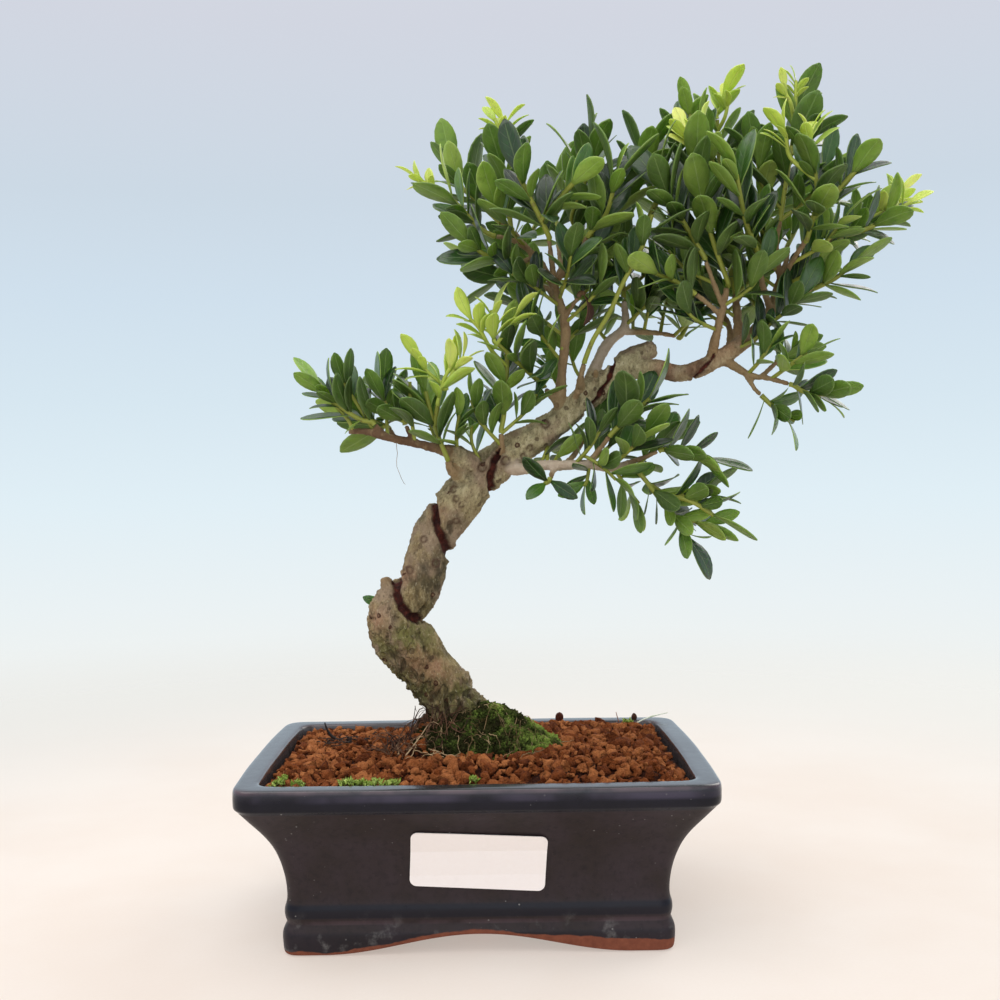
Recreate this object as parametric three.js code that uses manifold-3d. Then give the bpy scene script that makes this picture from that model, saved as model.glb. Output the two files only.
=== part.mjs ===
// A Japanese holly bonsai in a glazed rectangular bowl. Millimetres, +Z up, the front of the bowl faces -Y.
import * as THREE from "three";
import { mergeVertices } from "three/addons/utils/BufferGeometryUtils.js";
import Module from "manifold-3d";

const wasm = await Module();
wasm.setup();

// Bowl: outer size at the rim, and the wall as insets from that size at each height
const bowlLength = 150;
const bowlDepth = 110;
const bowlHeight = 55;
const rimWidth = 7.5;
const lipHeight = 6.4;
const floorUnderside = 7.5;
const floorTop = 13;
const cornerRadius = 4;
const cornerSteps = 2;
const outerWall = [
  [0, 14.4], [3, 13.5], [7.4, 13.2], [8.6, 14.2], [9.8, 14.9], [11.2, 14.1], [14.4, 13.9], [16, 14.9],
  [25, 14.2], [33, 12], [39.5, 8], [45, 3.5], [bowlHeight - lipHeight - 0.8, 0.9], [bowlHeight - lipHeight, 0],
  [bowlHeight - 0.9, 0], [bowlHeight, 0.9],
];
const innerWall = [
  [floorTop, 20.5], [25, 19.5], [33, 17.5], [39.5, 13.5], [45, 9.6], [50, 8.2],
  [bowlHeight - 0.6, rimWidth], [bowlHeight + 1, rimWidth - 0.8],
];
const footWidth = 5.5;
const frontArch = { halfWidth: 48, height: 6.3 };
const sideArch = { halfWidth: 24, height: 4.6 };
const archSteps = 12;
const drainHoleRadius = 6;
const drainHoleX = 30;

// Mesh squares over the drain holes
const screenSide = 22;
const screenThickness = 1;
const screenOpenings = 3;
const screenBar = 1.4;

// White label on the front wall
const labelWidth = 42;
const labelHeight = 18.5;
const labelThickness = 0.6;
const labelCorner = 2.2;
const labelCentreZ = 29.9;
const labelTilt = THREE.MathUtils.degToRad(3.2);

// Soil surface: level near the rim, the mound round the trunk, and the grain relief
const soilLevel = 50.3;
const soilMound = { x: -3, y: 6, height: 8, spreadX: 34, spreadY: 22 };
const soilGrain = 0.9;
const soilCell = 9;
const mossMound = { x: 9, y: 1, top: 70, lengthX: 21, lengthY: 16 };
const mossCell = 5;

// Gap kept between pieces that rest on or against each other
const gap = 0.3;

// Trunk: facets round it and stations along it
const trunkSides = 11;
const trunkSteps = 22;

// Leaf: width and thickness for its length, and the outline as [way along, share of the half width]
const leafAspect = 0.43;
const leafThickness = 0.85;
const leafOutline = [[0, 0], [0.32, 0.76], [0.74, 0.92]];
const leafArch = 0.05;
const rootSink = 0.3;
const leafTurn = 2.4;
const leafTries = 8;
const leafClearance = 2.4;
const stemRadius = 0.95;
const stemSides = 3;

const barkColour = 0x9b8a6b;
const leafColour = 0x3f6a2e;
const limeColour = 0xb9d23c;

// Trunk centre line from under the soil to the cut top: x, y, z, radius
const trunkLine = [
  [1, 6, 46, 11.5], [-1, 6, 56, 11.2], [-7, 4, 67, 9.5], [-13, 3, 75, 8], [-21, 1, 85, 7.9], [-28, -1, 95, 8.7],
  [-29, -2, 103, 9.2], [-23, -1, 110, 7.9], [-19, 0, 118, 7.5], [-16, 1, 127, 7.6], [-12, 2, 135, 7.1],
  [-5, 2, 143, 7.1], [4, 1, 151, 6.8], [14, -1, 158, 5.5], [29, -2, 167, 4.8], [38, -1, 175, 4.6],
  [46, 0, 181, 4.4], [54, 2, 188, 4], [62, 4, 193, 2.7],
];

// Every woody limb: the first point lies inside what it grew from, the last is its flat end
const limbs = {
  burr: [[-26, -3, 97, 7], [-31, -4, 103, 6.2], [-35, -4, 107, 3]],
  burrStub: [[-28, -3, 106, 5], [-30, -4, 111, 3], [-31, -4, 115, 1.8]],
  burrSpur: [[-30, 0, 101, 2.5], [-34, 5, 104, 0.9], [-35, 6, 105, 0.8]],
  collarKnob: [[-12, 2, 76, 6], [-6, 0, 78, 4.2], [-3, -1, 79, 3]],
  rootLeft: [[-4, 4, 58, 6], [-12, -2, 54, 4], [-19, -7, 49, 2.2], [-23, -10, 45, 1.5]],
  rootRight: [[-3, 5, 60, 6], [8, 3, 58, 4.4], [19, 1, 52, 2.8], [25, 0, 46, 1.8]],
  rootBack: [[-3, 5, 59, 6], [1, 15, 56, 4.2], [4, 24, 50, 2.6], [6, 29, 45, 1.8]],
  right: [[48, 1, 184, 4], [60, -1, 185, 3.4], [70, -3, 183, 3.1], [78, -5, 185, 3.1], [87, -4, 190, 2.9],
    [96, -2, 197, 2.6], [102, 0, 204, 2.2], [105, 1, 212, 1.9], [107, 1, 219, 1.6]],
  forkLeftUp: [[106, 1, 217, 1.3], [100, 4, 225, 1.1], [94, 6, 230, 1]],
  forkUp: [[106, 1, 214, 1.3], [103, -4, 226, 1.1], [104, -6, 234, 1]],
  forkRight: [[106, 1, 217, 1.3], [113, 3, 222, 1.1], [121, 6, 226, 1]],
  forkRightLow: [[112, 3, 221, 1], [117, -1, 226, 0.9], [123, -4, 228, 0.9]],
  forkBack: [[106, 1, 215, 1.3], [110, 10, 224, 1.1], [112, 17, 229, 1]],
  forkFront: [[105, 1, 212, 1.3], [107, -8, 219, 1.1], [110, -15, 225, 1]],
  rightSkirt: [[104, 1, 209, 1.3], [111, -3, 210, 1], [115, -5, 211, 0.9]],
  backSkirt: [[101, 0, 203, 1.3], [101, 8, 206, 1], [100, 12, 208, 0.9]],
  forkInner: [[102, 0, 204, 1.3], [97, -9, 213, 1.1], [94, -17, 220, 1]],
  middle: [[29, -2, 167, 3], [29, -4, 174, 2.1], [30, -6, 186, 1.7], [31, -7, 198, 1.7], [29, -6, 208, 1.5],
    [27, -5, 214, 1.3]],
  middleLeft: [[27, -5, 213, 1.3], [23, -4, 221, 1.2], [18, -5, 226, 1.1], [14, -7, 231, 1]],
  middleLeftLow: [[19, -5, 225, 1], [13, -8, 228, 0.9], [8, -9, 229, 0.9]],
  middleLeftBack: [[20, -5, 224, 1], [14, 1, 232, 0.9], [10, 4, 236, 0.9]],
  middleLeftSkirt: [[21, -4, 223, 1], [16, -9, 220, 0.9], [13, -12, 219, 0.9]],
  middleRight: [[27, -5, 213, 1.3], [31, 0, 221, 1.1], [34, 3, 228, 1]],
  middleRightBack: [[30, -1, 219, 1], [30, 8, 227, 0.9], [30, 14, 233, 0.9]],
  middleRightFront: [[27, -5, 213, 1.1], [35, -11, 222, 0.9], [38, -15, 227, 0.9]],
  middleBack: [[30, -6, 205, 1.2], [24, 8, 217, 1], [21, 17, 225, 0.9]],
  middleBackSkirt: [[26, 4, 213, 1], [20, 10, 216, 0.9], [17, 13, 217, 0.9]],
  middleFront: [[28, -5, 211, 1.2], [26, -16, 220, 1], [25, -22, 225, 0.9]],
  upFront: [[80, -5, 186, 2], [82, -8, 197, 1.5], [84, -9, 205, 1.3], [85, -10, 211, 1.1]],
  upFrontLeft: [[84, -9, 204, 1.1], [80, -13, 212, 0.9], [77, -15, 219, 0.9]],
  upFrontSkirt: [[83, -9, 202, 1.1], [77, -13, 206, 0.9], [74, -14, 208, 0.9]],
  upBack: [[90, -4, 191, 2], [91, 2, 202, 1.6], [91, 6, 211, 1.2]],
  upFarBack: [[87, -4, 190, 1.6], [89, 7, 200, 1.1], [86, 17, 210, 1]],
  pale: [[38, -1, 175, 3.2], [43, 5, 188, 2.2], [47, 8, 195, 2], [53, 11, 201, 1.7], [53, 13, 210, 1.1]],
  paleRight: [[51, 10, 199, 1.3], [63, 13, 199, 1], [72, 16, 198, 0.9]],
  greenSpur: [[36, -1, 174, 2.6], [36, -7, 182, 1.2], [37, -9, 186, 1]],
  left: [[2, 0, 151, 4.6], [-6, -6, 156, 3.1], [-12, -9, 158, 1.8], [-20, -10, 160, 1.6], [-29, -11, 162, 1.4],
    [-36, -12, 164, 1.2], [-42, -12, 164, 1]],
  leftOut: [[-29, -11, 162, 1.1], [-33, -12, 166, 0.9]],
  leftIn: [[-20, -10, 160, 1.1], [-23, -9, 166, 0.9]],
  leftBack: [[-26, -11, 161, 1.1], [-29, -4, 165, 0.9]],
  thickSpur: [[-3, 0, 148, 4], [-8, -8, 151, 1.6], [-9, -10, 154, 1.2]],
  middleSpur: [[8, 0, 154, 4], [9, -7, 159, 1.4], [9, -8, 163, 1]],
  leftSpur: [[29, -4, 172, 1.6], [24, -7, 178, 1]],
  lower: [[9, 0, 154, 4], [14, -5, 151, 2.3], [22, -9, 152, 1.9], [29, -12, 152, 1.8], [38, -14, 152, 1.7],
    [45, -15, 151, 1.7], [52, -15, 150, 1.5]],
  lowerSide: [[46, -15, 151, 1.1], [55, -18, 154, 0.9], [60, -19, 156, 0.9]],
  lowerUp: [[37, -14, 152, 1.2], [41, -18, 157, 1], [44, -20, 161, 0.9]],
  lowerSpur: [[27, -11, 152, 1.2], [25, -14, 148, 0.9]],
  lowerBack: [[30, -12, 152, 1.2], [34, -3, 156, 1], [37, 3, 160, 0.9]],
  rightLow: [[84, -4, 188, 2], [92, -9, 182, 1.2], [99, -13, 180, 1], [104, -16, 178, 0.9]],
  rightLowFork: [[91, -8, 183, 1], [94, -10, 177, 0.9], [96, -10, 175, 0.9]],
  rightLowUp: [[96, -12, 181, 1], [102, -7, 186, 0.9]],
  deadSpur: [[31, -7, 202, 1.1], [35, -11, 208, 0.8]],
  cutStub: [[32, -2, 169, 2], [35, -9, 177, 1.1]],
  cutTwig: [[42, -1, 178, 1.6], [41, -8, 184, 0.8]],
};

// Leafy shoots: the limb or shoot whose end each one grows from, its path, leaf count, leaf length,
// and where it has them the bare share of its stem and a side shoot that starts on it
const shoots = {
  crownLeftTop: { from: "middleLeft", path: [[12, -8, 243], [10, -9, 255], [11, -9, 261]], leaves: 10, size: 19 },
  crownLeftLow: { from: "middleLeftLow", path: [[2, -10, 232], [-5, -13, 239], [-11, -14, 243]], leaves: 10, size: 18 },
  crownLeftBack: { from: "middleLeftBack", path: [[3, 6, 243], [-5, 8, 251], [-7, 9, 257]], leaves: 8, size: 20 },
  crownMiddle: { from: "middleRight", path: [[37, 5, 242], [38, 7, 258]], leaves: 9, size: 21 },
  crownMiddleBack: { from: "middleRightBack", path: [[30, 23, 242], [29, 29, 254]], leaves: 8, size: 20 },
  crownMiddleFront: { from: "middleRightFront", path: [[44, -20, 234], [47, -25, 246]], leaves: 10, size: 20 },
  crownBackLeft: { from: "middleBack", path: [[14, 27, 236], [8, 32, 246]], leaves: 7, size: 19,
    side: { start: [17, 23, 231], path: [[24, 33, 243]], leaves: 4 } },
  crownFrontLeft: { from: "middleFront", path: [[20, -30, 234], [15, -34, 243]], leaves: 9, size: 19,
    side: { start: [22, -27, 230], path: [[32, -35, 240]], leaves: 6 } },
  crownFront: { from: "upFront", path: [[80, -15, 224], [75, -18, 240], [74, -18, 252]], leaves: 12, size: 21 },
  crownFrontTurned: { from: "upFrontLeft", path: [[70, -18, 230], [62, -22, 242], [60, -24, 250]], leaves: 11, size: 20 },
  crownCentre: { from: "upBack", path: [[89, 9, 225], [86, 11, 242], [84, 12, 256]], leaves: 10, size: 21 },
  crownFarBack: { from: "upFarBack", path: [[80, 24, 222], [74, 30, 238], [72, 33, 248]], leaves: 9, size: 20 },
  crownTop: { from: "forkLeftUp", path: [[90, 8, 240], [86, 6, 256], [85, 4, 271]], leaves: 12, size: 19 },
  crownUp: { from: "forkUp", path: [[106, -8, 248], [109, -6, 264], [110, -5, 273]], leaves: 11, size: 19 },
  crownRight: { from: "forkRight", path: [[132, 9, 232], [141, 11, 239], [146, 12, 243]], leaves: 10, size: 17 },
  crownRightLow: { from: "forkRightLow", path: [[134, -7, 231], [142, -9, 236]], leaves: 8, size: 15 },
  crownBack: { from: "forkBack", path: [[118, 24, 240], [122, 30, 254]], leaves: 8, size: 20,
    side: { start: [115, 21, 234], path: [[102, 32, 249]], leaves: 6 } },
  crownNear: { from: "forkFront", path: [[112, -23, 238], [109, -28, 251]], leaves: 9, size: 19,
    side: { start: [111, -19, 231], path: [[124, -30, 246]], leaves: 8 } },
  crownInner: { from: "forkInner", path: [[88, -26, 230], [84, -32, 243]], leaves: 9, size: 20 },
  skirtLeft: { from: "middleLeftSkirt", path: [[5, -16, 221], [0, -18, 224]], leaves: 8, size: 17 },
  skirtFarLeft: { from: "middleBackSkirt", path: [[9, 18, 220], [3, 21, 224]], leaves: 7, size: 18 },
  skirtMiddle: { from: "upFrontSkirt", path: [[67, -16, 212], [60, -20, 214]], leaves: 8, size: 18 },
  skirtRight: { from: "rightSkirt", path: [[122, -8, 214], [127, -10, 218]], leaves: 8, size: 17 },
  skirtBack: { from: "backSkirt", path: [[99, 20, 212], [98, 27, 217]], leaves: 7, size: 18 },
  centreTall: { from: "pale", path: [[53, 16, 224], [51, 19, 238], [50, 20, 250]], leaves: 11, size: 20 },
  centreBack: { from: "paleRight", path: [[78, 21, 206], [80, 25, 215]], leaves: 7, size: 18 },
  centreGreen: { from: "greenSpur", path: [[40, -12, 194], [45, -15, 202], [49, -19, 211], [55, -23, 222], [58, -26, 232]],
    leaves: 9, size: 19, bare: 0.5 },
  leftThick: { from: "thickSpur", path: [[-12, -12, 162], [-14, -13, 168], [-16, -14, 177]], leaves: 9, size: 19,
    bare: 0.2, side: { start: [-13, -13, 166], path: [[-12, -16, 172]], leaves: 0 } },
  leftMiddle: { from: "middleSpur", path: [[10, -9, 170], [11, -11, 184], [11, -12, 191]], leaves: 10, size: 18 },
  leftUpper: { from: "leftSpur", path: [[16, -13, 185], [8, -17, 192]], leaves: 7, size: 17 },
  leftOuter: { from: "leftOut", path: [[-38, -13, 168], [-44, -14, 172], [-49, -15, 176]], leaves: 12, size: 17 },
  leftInner: { from: "leftIn", path: [[-28, -8, 170], [-32, -7, 178]], leaves: 8, size: 17 },
  leftFar: { from: "leftBack", path: [[-36, 3, 169], [-42, 9, 174]], leaves: 7, size: 18 },
  rightLower: { from: "rightLow", path: [[109, -18, 175], [115, -20, 174]], leaves: 10, size: 15 },
  rightFork: { from: "rightLowFork", path: [[101, -11, 170], [107, -12, 166]], leaves: 8, size: 14 },
  rightRaised: { from: "rightLowUp", path: [[106, -4, 188], [110, -2, 191]], leaves: 7, size: 14 },
  lowerRight: { from: "lower", path: [[57, -15, 146], [63, -14, 138], [68, -13, 133], [71, -13, 127]], leaves: 11,
    size: 16, bare: 0.2, side: { start: [60, -14.5, 142], path: [[70, -19, 140], [78, -20, 135]], leaves: 6 } },
  lowerTurned: { from: "lowerSide", path: [[68, -20, 156], [76, -21, 154]], leaves: 9, size: 17 },
  lowerDark: { from: "lowerUp", path: [[50, -22, 167], [57, -24, 173]], leaves: 9, size: 20 },
  lowerSmall: { from: "lowerSpur", path: [[23, -17, 146]], leaves: 3, size: 12 },
  lowerFar: { from: "lowerBack", path: [[42, 8, 164], [50, 12, 168]], leaves: 7, size: 19 },
  burrLeaf: { from: "burrSpur", path: [[-36, 7, 107]], leaves: 1, size: 8 },
};

// Soft young tips, each grown from the end of a leafy shoot
const youngTips = {
  youngLeftTop: { from: "crownLeftTop", path: [[11, -10, 267]], leaves: 6, size: 13 },
  youngLeft: { from: "crownLeftLow", path: [[-16, -15, 246]], leaves: 4, size: 10 },
  youngFront: { from: "crownFront", path: [[76, -18, 260]], leaves: 5, size: 12 },
  youngTop: { from: "crownTop", path: [[87, 2, 279]], leaves: 7, size: 13 },
  youngUp: { from: "crownUp", path: [[111, -5, 279]], leaves: 3, size: 10 },
  youngNear: { from: "crownNear", path: [[108, -29, 258]], leaves: 6, size: 13 },
  youngRight: { from: "crownRight", path: [[151, 13, 247]], leaves: 5, size: 11 },
  youngRightLow: { from: "crownRightLow", path: [[147, -10, 239]], leaves: 4, size: 10 },
  youngCluster: { from: "leftUpper", path: [[7, -18, 198], [6, -18, 203]], leaves: 8, size: 15 },
  youngSide: { from: "leftThickSide", path: [[-10, -17, 180], [-6, -19, 187]], leaves: 6, size: 13 },
};
const deadLeaf = { from: "deadSpur", path: [[37, -13, 209]], leaves: 1, size: 13, drop: [0.15, -0.1, -1] };

// Park-Miller generator: each use starts its own, so that every run draws the same numbers
function makeRandom(start) {
  let seed = start;
  return () => {
    seed = (seed * 16807) % 2147483647;
    return seed / 2147483647;
  };
}
const leafRandom = makeRandom(20261);
const soilRandom = makeRandom(811);
const mossRandom = makeRandom(377);

// Small vector helpers on plain arrays
const add = (a, b, k = 1) => [a[0] + b[0] * k, a[1] + b[1] * k, a[2] + b[2] * k];
const dot = (a, b) => a[0] * b[0] + a[1] * b[1] + a[2] * b[2];
const cross = (a, b) => [a[1] * b[2] - a[2] * b[1], a[2] * b[0] - a[0] * b[2], a[0] * b[1] - a[1] * b[0]];
const unit = (a) => add([0, 0, 0], a, 1 / Math.sqrt(dot(a, a)));
const mix = (a, b, t) => add(add([0, 0, 0], a, 1 - t), b, t);

// A closed body through rings that turn right-handed about the way they advance, each end flat or a point
function closedLoft(rings, tip = null, foot = null) {
  const sides = rings[0].length;
  const positions = rings.flat(2);
  const index = [];
  const last = (rings.length - 1) * sides;
  const closeEnd = (start, point, flip) => {
    const turn = (a, b, c) => (flip ? index.push(a, c, b) : index.push(a, b, c));
    if (!point) {
      for (let side = 1; side < sides - 1; side += 1) turn(start, start + side, start + side + 1);
      return;
    }
    const at = positions.length / 3;
    positions.push(...point);
    for (let side = 0; side < sides; side += 1) turn(start + side, start + ((side + 1) % sides), at);
  };
  for (let row = 0; row < last; row += sides) {
    for (let side = 0; side < sides; side += 1) {
      const here = row + side;
      const next = row + ((side + 1) % sides);
      index.push(here, next, next + sides, here, next + sides, here + sides);
    }
  }
  closeEnd(0, foot, true);
  closeEnd(last, tip, false);
  const geometry = new THREE.BufferGeometry();
  geometry.setAttribute("position", new THREE.Float32BufferAttribute(positions, 3));
  geometry.setIndex(index);
  return geometry;
}

// Solid from a closed geometry
function solidOf(geometry) {
  const bare = geometry.clone();
  bare.deleteAttribute("normal");
  bare.deleteAttribute("uv");
  const merged = mergeVertices(bare, 1e-5);
  const vertProperties = new Float32Array(merged.attributes.position.array);
  return new wasm.Manifold(new wasm.Mesh({ numProp: 3, vertProperties, triVerts: new Uint32Array(merged.index.array) }));
}

// Geometry from a solid
function geometryOf(solid) {
  const mesh = solid.getMesh();
  const geometry = new THREE.BufferGeometry();
  geometry.setAttribute("position", new THREE.BufferAttribute(new Float32Array(mesh.vertProperties), 3));
  geometry.setIndex(new THREE.BufferAttribute(new Uint32Array(mesh.triVerts), 1));
  geometry.computeVertexNormals();
  return geometry;
}

const fuse = (solids) => solids.reduce((whole, solid) => whole.add(solid));

// Body round a path of [x, y, z, radius] points, with a frame carried along it without twist
function tube(path, sides, grow = 0, lumps = null) {
  const points = path.map((point) => point.slice(0, 3));
  const directions = points.map((point, i) => {
    const from = points[Math.max(i - 1, 0)];
    const to = points[Math.min(i + 1, points.length - 1)];
    return unit(add(to, from, -1));
  });
  let across = Math.abs(directions[0][2]) < 0.9 ? [0, 0, 1] : [1, 0, 0];
  const rings = points.map((point, i) => {
    across = unit(add(across, directions[i], -dot(across, directions[i])));
    const upward = cross(directions[i], across);
    return Array.from({ length: sides }, (_, side) => {
      const angle = (side / sides) * Math.PI * 2;
      const radius = (path[i][3] + grow) * (lumps ? lumps(angle, point[2]) : 1);
      return add(add(point, across, Math.cos(angle) * radius), upward, Math.sin(angle) * radius);
    });
  });
  return solidOf(closedLoft(rings));
}

// Rounded rectangle at one height of the bowl
function bowlRing(z, inset, radius = cornerRadius) {
  const ring = [];
  for (const [signX, signY, quarter] of [[1, 1, 0], [-1, 1, 1], [-1, -1, 2], [1, -1, 3]]) {
    for (let step = 0; step <= cornerSteps; step += 1) {
      const angle = (quarter + step / cornerSteps) * (Math.PI / 2);
      ring.push([
        signX * (bowlLength / 2 - inset - radius) + Math.cos(angle) * radius,
        signY * (bowlDepth / 2 - inset - radius) + Math.sin(angle) * radius,
        z,
      ]);
    }
  }
  return ring;
}

const bowlSkin = (wall, grow) => solidOf(closedLoft(wall.map(([z, inset]) => bowlRing(z, inset - grow))));

// Prism along Y or X under a raised-cosine arch
function archCut({ halfWidth, height }, alongX) {
  const shape = new THREE.Shape();
  shape.moveTo(-halfWidth, -1);
  for (let step = 0; step <= archSteps; step += 1) {
    const way = (step / archSteps) * 2 - 1;
    shape.lineTo(way * halfWidth, height * (0.5 + 0.5 * Math.cos(Math.PI * way)) + 0.001);
  }
  shape.lineTo(halfWidth, -1);
  const prism = new THREE.ExtrudeGeometry(shape, { depth: bowlLength, bevelEnabled: false });
  prism.translate(0, 0, -bowlLength / 2);
  prism.rotateX(Math.PI / 2);
  if (alongX) prism.rotateZ(Math.PI / 2);
  return solidOf(prism);
}

function makeBowl() {
  const recess = solidOf(closedLoft([
    bowlRing(-1, outerWall[0][1] + footWidth, 3), bowlRing(floorUnderside, outerWall[0][1] + footWidth + 1.5, 3),
  ]));
  let bowl = bowlSkin(outerWall, 0).subtract(bowlSkin(innerWall, 0)).subtract(recess);
  bowl = bowl.subtract(archCut(frontArch, false)).subtract(archCut(sideArch, true));
  for (const side of [-1, 1]) {
    const hole = new THREE.CylinderGeometry(drainHoleRadius, drainHoleRadius, 20, 14);
    hole.rotateX(Math.PI / 2);
    hole.translate(side * drainHoleX, 0, floorTop);
    bowl = bowl.subtract(solidOf(hole));
  }
  return bowl;
}

function boxSolid(sizes, centre) {
  const box = new THREE.BoxGeometry(...sizes);
  box.translate(...centre);
  return solidOf(box);
}

function makeScreen(side) {
  const pitch = (screenSide - screenBar) / screenOpenings;
  const open = pitch - screenBar;
  const z = floorTop + gap + screenThickness / 2;
  let screen = boxSolid([screenSide, screenSide, screenThickness], [side * drainHoleX, 0, z]);
  for (let column = 0; column < screenOpenings; column += 1) {
    for (let row = 0; row < screenOpenings; row += 1) {
      const x = side * drainHoleX + (column + 0.5 - screenOpenings / 2) * pitch;
      screen = screen.subtract(boxSolid([open, open, 4], [x, (row + 0.5 - screenOpenings / 2) * pitch, z]));
    }
  }
  return screen;
}

function makeLabel() {
  const halfWidth = labelWidth / 2 - labelCorner;
  const halfHeight = labelHeight / 2 - labelCorner;
  const shape = new THREE.Shape();
  shape.absarc(halfWidth, halfHeight, labelCorner, 0, Math.PI / 2);
  shape.absarc(-halfWidth, halfHeight, labelCorner, Math.PI / 2, Math.PI);
  shape.absarc(-halfWidth, -halfHeight, labelCorner, Math.PI, Math.PI * 1.5);
  shape.absarc(halfWidth, -halfHeight, labelCorner, Math.PI * 1.5, Math.PI * 2);
  const slab = new THREE.ExtrudeGeometry(shape, { depth: bowlDepth / 2, bevelEnabled: false, curveSegments: 4 });
  slab.rotateX(Math.PI / 2);
  slab.rotateY(labelTilt);
  slab.translate(0, 0, labelCentreZ);
  const outer = bowlSkin(outerWall, gap + 0.05 + labelThickness);
  return solidOf(slab).intersect(outer).subtract(bowlSkin(outerWall, gap + 0.05));
}

// Block whose top follows a height rule over a grid of square cells
function reliefBlock(width, depth, cell, bottom, height) {
  const columns = Math.round(width / cell);
  const rows = Math.round(depth / cell);
  const grid = [];
  for (let row = 0; row <= rows; row += 1) {
    for (let column = 0; column <= columns; column += 1) {
      const x = (column / columns - 0.5) * width;
      const y = (row / rows - 0.5) * depth;
      grid.push([x, y, height(x, y)]);
    }
  }
  const under = grid.map(([x, y]) => [x, y, bottom]);
  const index = [];
  const count = grid.length;
  for (let row = 0; row < rows; row += 1) {
    for (let column = 0; column < columns; column += 1) {
      const a = row * (columns + 1) + column;
      const c = a + columns + 1;
      index.push(a, a + 1, c + 1, a, c + 1, c);
      index.push(count + a, count + c + 1, count + a + 1, count + a, count + c, count + c + 1);
    }
  }
  const wall = (a, b) => index.push(a, count + a, count + b, a, count + b, b);
  for (let column = 0; column < columns; column += 1) {
    wall(column, column + 1);
    wall(rows * (columns + 1) + column + 1, rows * (columns + 1) + column);
  }
  for (let row = 0; row < rows; row += 1) {
    wall((row + 1) * (columns + 1), row * (columns + 1));
    wall(row * (columns + 1) + columns, (row + 1) * (columns + 1) + columns);
  }
  const geometry = new THREE.BufferGeometry();
  geometry.setAttribute("position", new THREE.Float32BufferAttribute([...grid, ...under].flat(), 3));
  geometry.setIndex(index);
  return geometry;
}

function soilHeight(x, y) {
  const { x: mx, y: my, height, spreadX, spreadY } = soilMound;
  return soilLevel + height * Math.exp(-(((x - mx) / spreadX) ** 2) - ((y - my) / spreadY) ** 2);
}

// Trunk line resampled smoothly, each station with its radius
function smoothTrunk() {
  const curve = new THREE.CatmullRomCurve3(trunkLine.map((p) => new THREE.Vector3(...p)), false, "catmullrom", 0.5);
  const radii = new THREE.CatmullRomCurve3(trunkLine.map((p) => new THREE.Vector3(p[3], 0, 0)), false, "catmullrom", 0.5);
  return Array.from({ length: trunkSteps + 1 }, (_, i) => {
    const point = curve.getPoint(i / trunkSteps);
    return [point.x, point.y, point.z, radii.getPoint(i / trunkSteps).x];
  });
}

const barkLumps = (angle, z) => 1 + 0.05 * Math.sin(3 * angle + z * 0.11) + 0.035 * Math.sin(5 * angle - z * 0.17);

function makeTrunk(grow) {
  const solids = [tube(smoothTrunk(), trunkSides, grow, barkLumps)];
  for (const path of Object.values(limbs)) {
    const sides = path[0][3] > 3.9 ? 7 : path[0][3] > 1.7 ? 5 : 4;
    if (grow === 0 || path[path.length - 1][2] < soilLevel) solids.push(tube(path, sides, grow));
  }
  return fuse(solids);
}

// Where new growth leaves a limb or shoot: its end point and the way it points
const ends = {};
function noteEnd(name, path) {
  const last = path[path.length - 1].slice(0, 3);
  ends[name] = { point: last, direction: unit(add(last, path[path.length - 2].slice(0, 3), -1)) };
}

// Points already taken, kept in cubes as wide as the clearance
const taken = new Map();
const cubeOf = (v) => Math.floor(v / leafClearance);
function take(point, owner) {
  const key = `${cubeOf(point[0])},${cubeOf(point[1])},${cubeOf(point[2])}`;
  if (!taken.has(key)) taken.set(key, []);
  taken.get(key).push([point, owner]);
}
function isBlocked(point, owner) {
  for (let i = -1; i <= 1; i += 1) {
    for (let j = -1; j <= 1; j += 1) {
      for (let k = -1; k <= 1; k += 1) {
        const key = `${cubeOf(point[0]) + i},${cubeOf(point[1]) + j},${cubeOf(point[2]) + k}`;
        for (const [other, otherOwner] of taken.get(key) ?? []) {
          const away = add(point, other, -1);
          if (dot(away, away) < leafClearance ** 2 && otherOwner !== owner) return true;
        }
      }
    }
  }
  return false;
}

// Balls that fill the wood, for keeping leaves off it
const woodBalls = [];
function noteWood(path) {
  for (let i = 0; i < path.length - 1; i += 1) {
    const span = add(path[i + 1], path[i], -1);
    const steps = Math.ceil(Math.sqrt(dot(span, span)) / 1.5);
    for (let step = 0; step <= steps; step += 1) {
      const t = step / steps;
      woodBalls.push([mix(path[i], path[i + 1], t), path[i][3] * (1 - t) + path[i + 1][3] * t]);
    }
  }
}
function nearWood(point) {
  return woodBalls.some(([centre, radius]) => {
    const away = add(point, centre, -1);
    return dot(away, away) < (radius + leafClearance * 0.55) ** 2;
  });
}

// Point and direction a share of the way along a path
function along(path, share) {
  const lengths = path.slice(1).map((point, i) => {
    const span = add(point, path[i], -1);
    return Math.sqrt(dot(span, span));
  });
  let rest = lengths.reduce((sum, length) => sum + length, 0) * share;
  let part = 0;
  while (part < lengths.length - 1 && rest > lengths[part]) {
    rest -= lengths[part];
    part += 1;
  }
  const direction = unit(add(path[part + 1], path[part], -1));
  return { point: add(path[part], direction, rest), direction };
}

// Centre of a blade a share of the way to its tip, and its half width there
const bladeCentre = (leaf, t) => add(
  add(leaf.base, leaf.direction, leaf.length * t), leaf.face, leaf.length * leafArch * 4 * t * (1 - t));
function bladeHalfWidth(leaf, t) {
  const corners = [...leafOutline, [1, 0]];
  let part = 0;
  while (t > corners[part + 1][0]) part += 1;
  const [from, fromWidth] = corners[part];
  const [to, toWidth] = corners[part + 1];
  return (fromWidth + ((toWidth - fromWidth) * (t - from)) / (to - from)) * leaf.length * leafAspect * 0.5;
}

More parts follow.
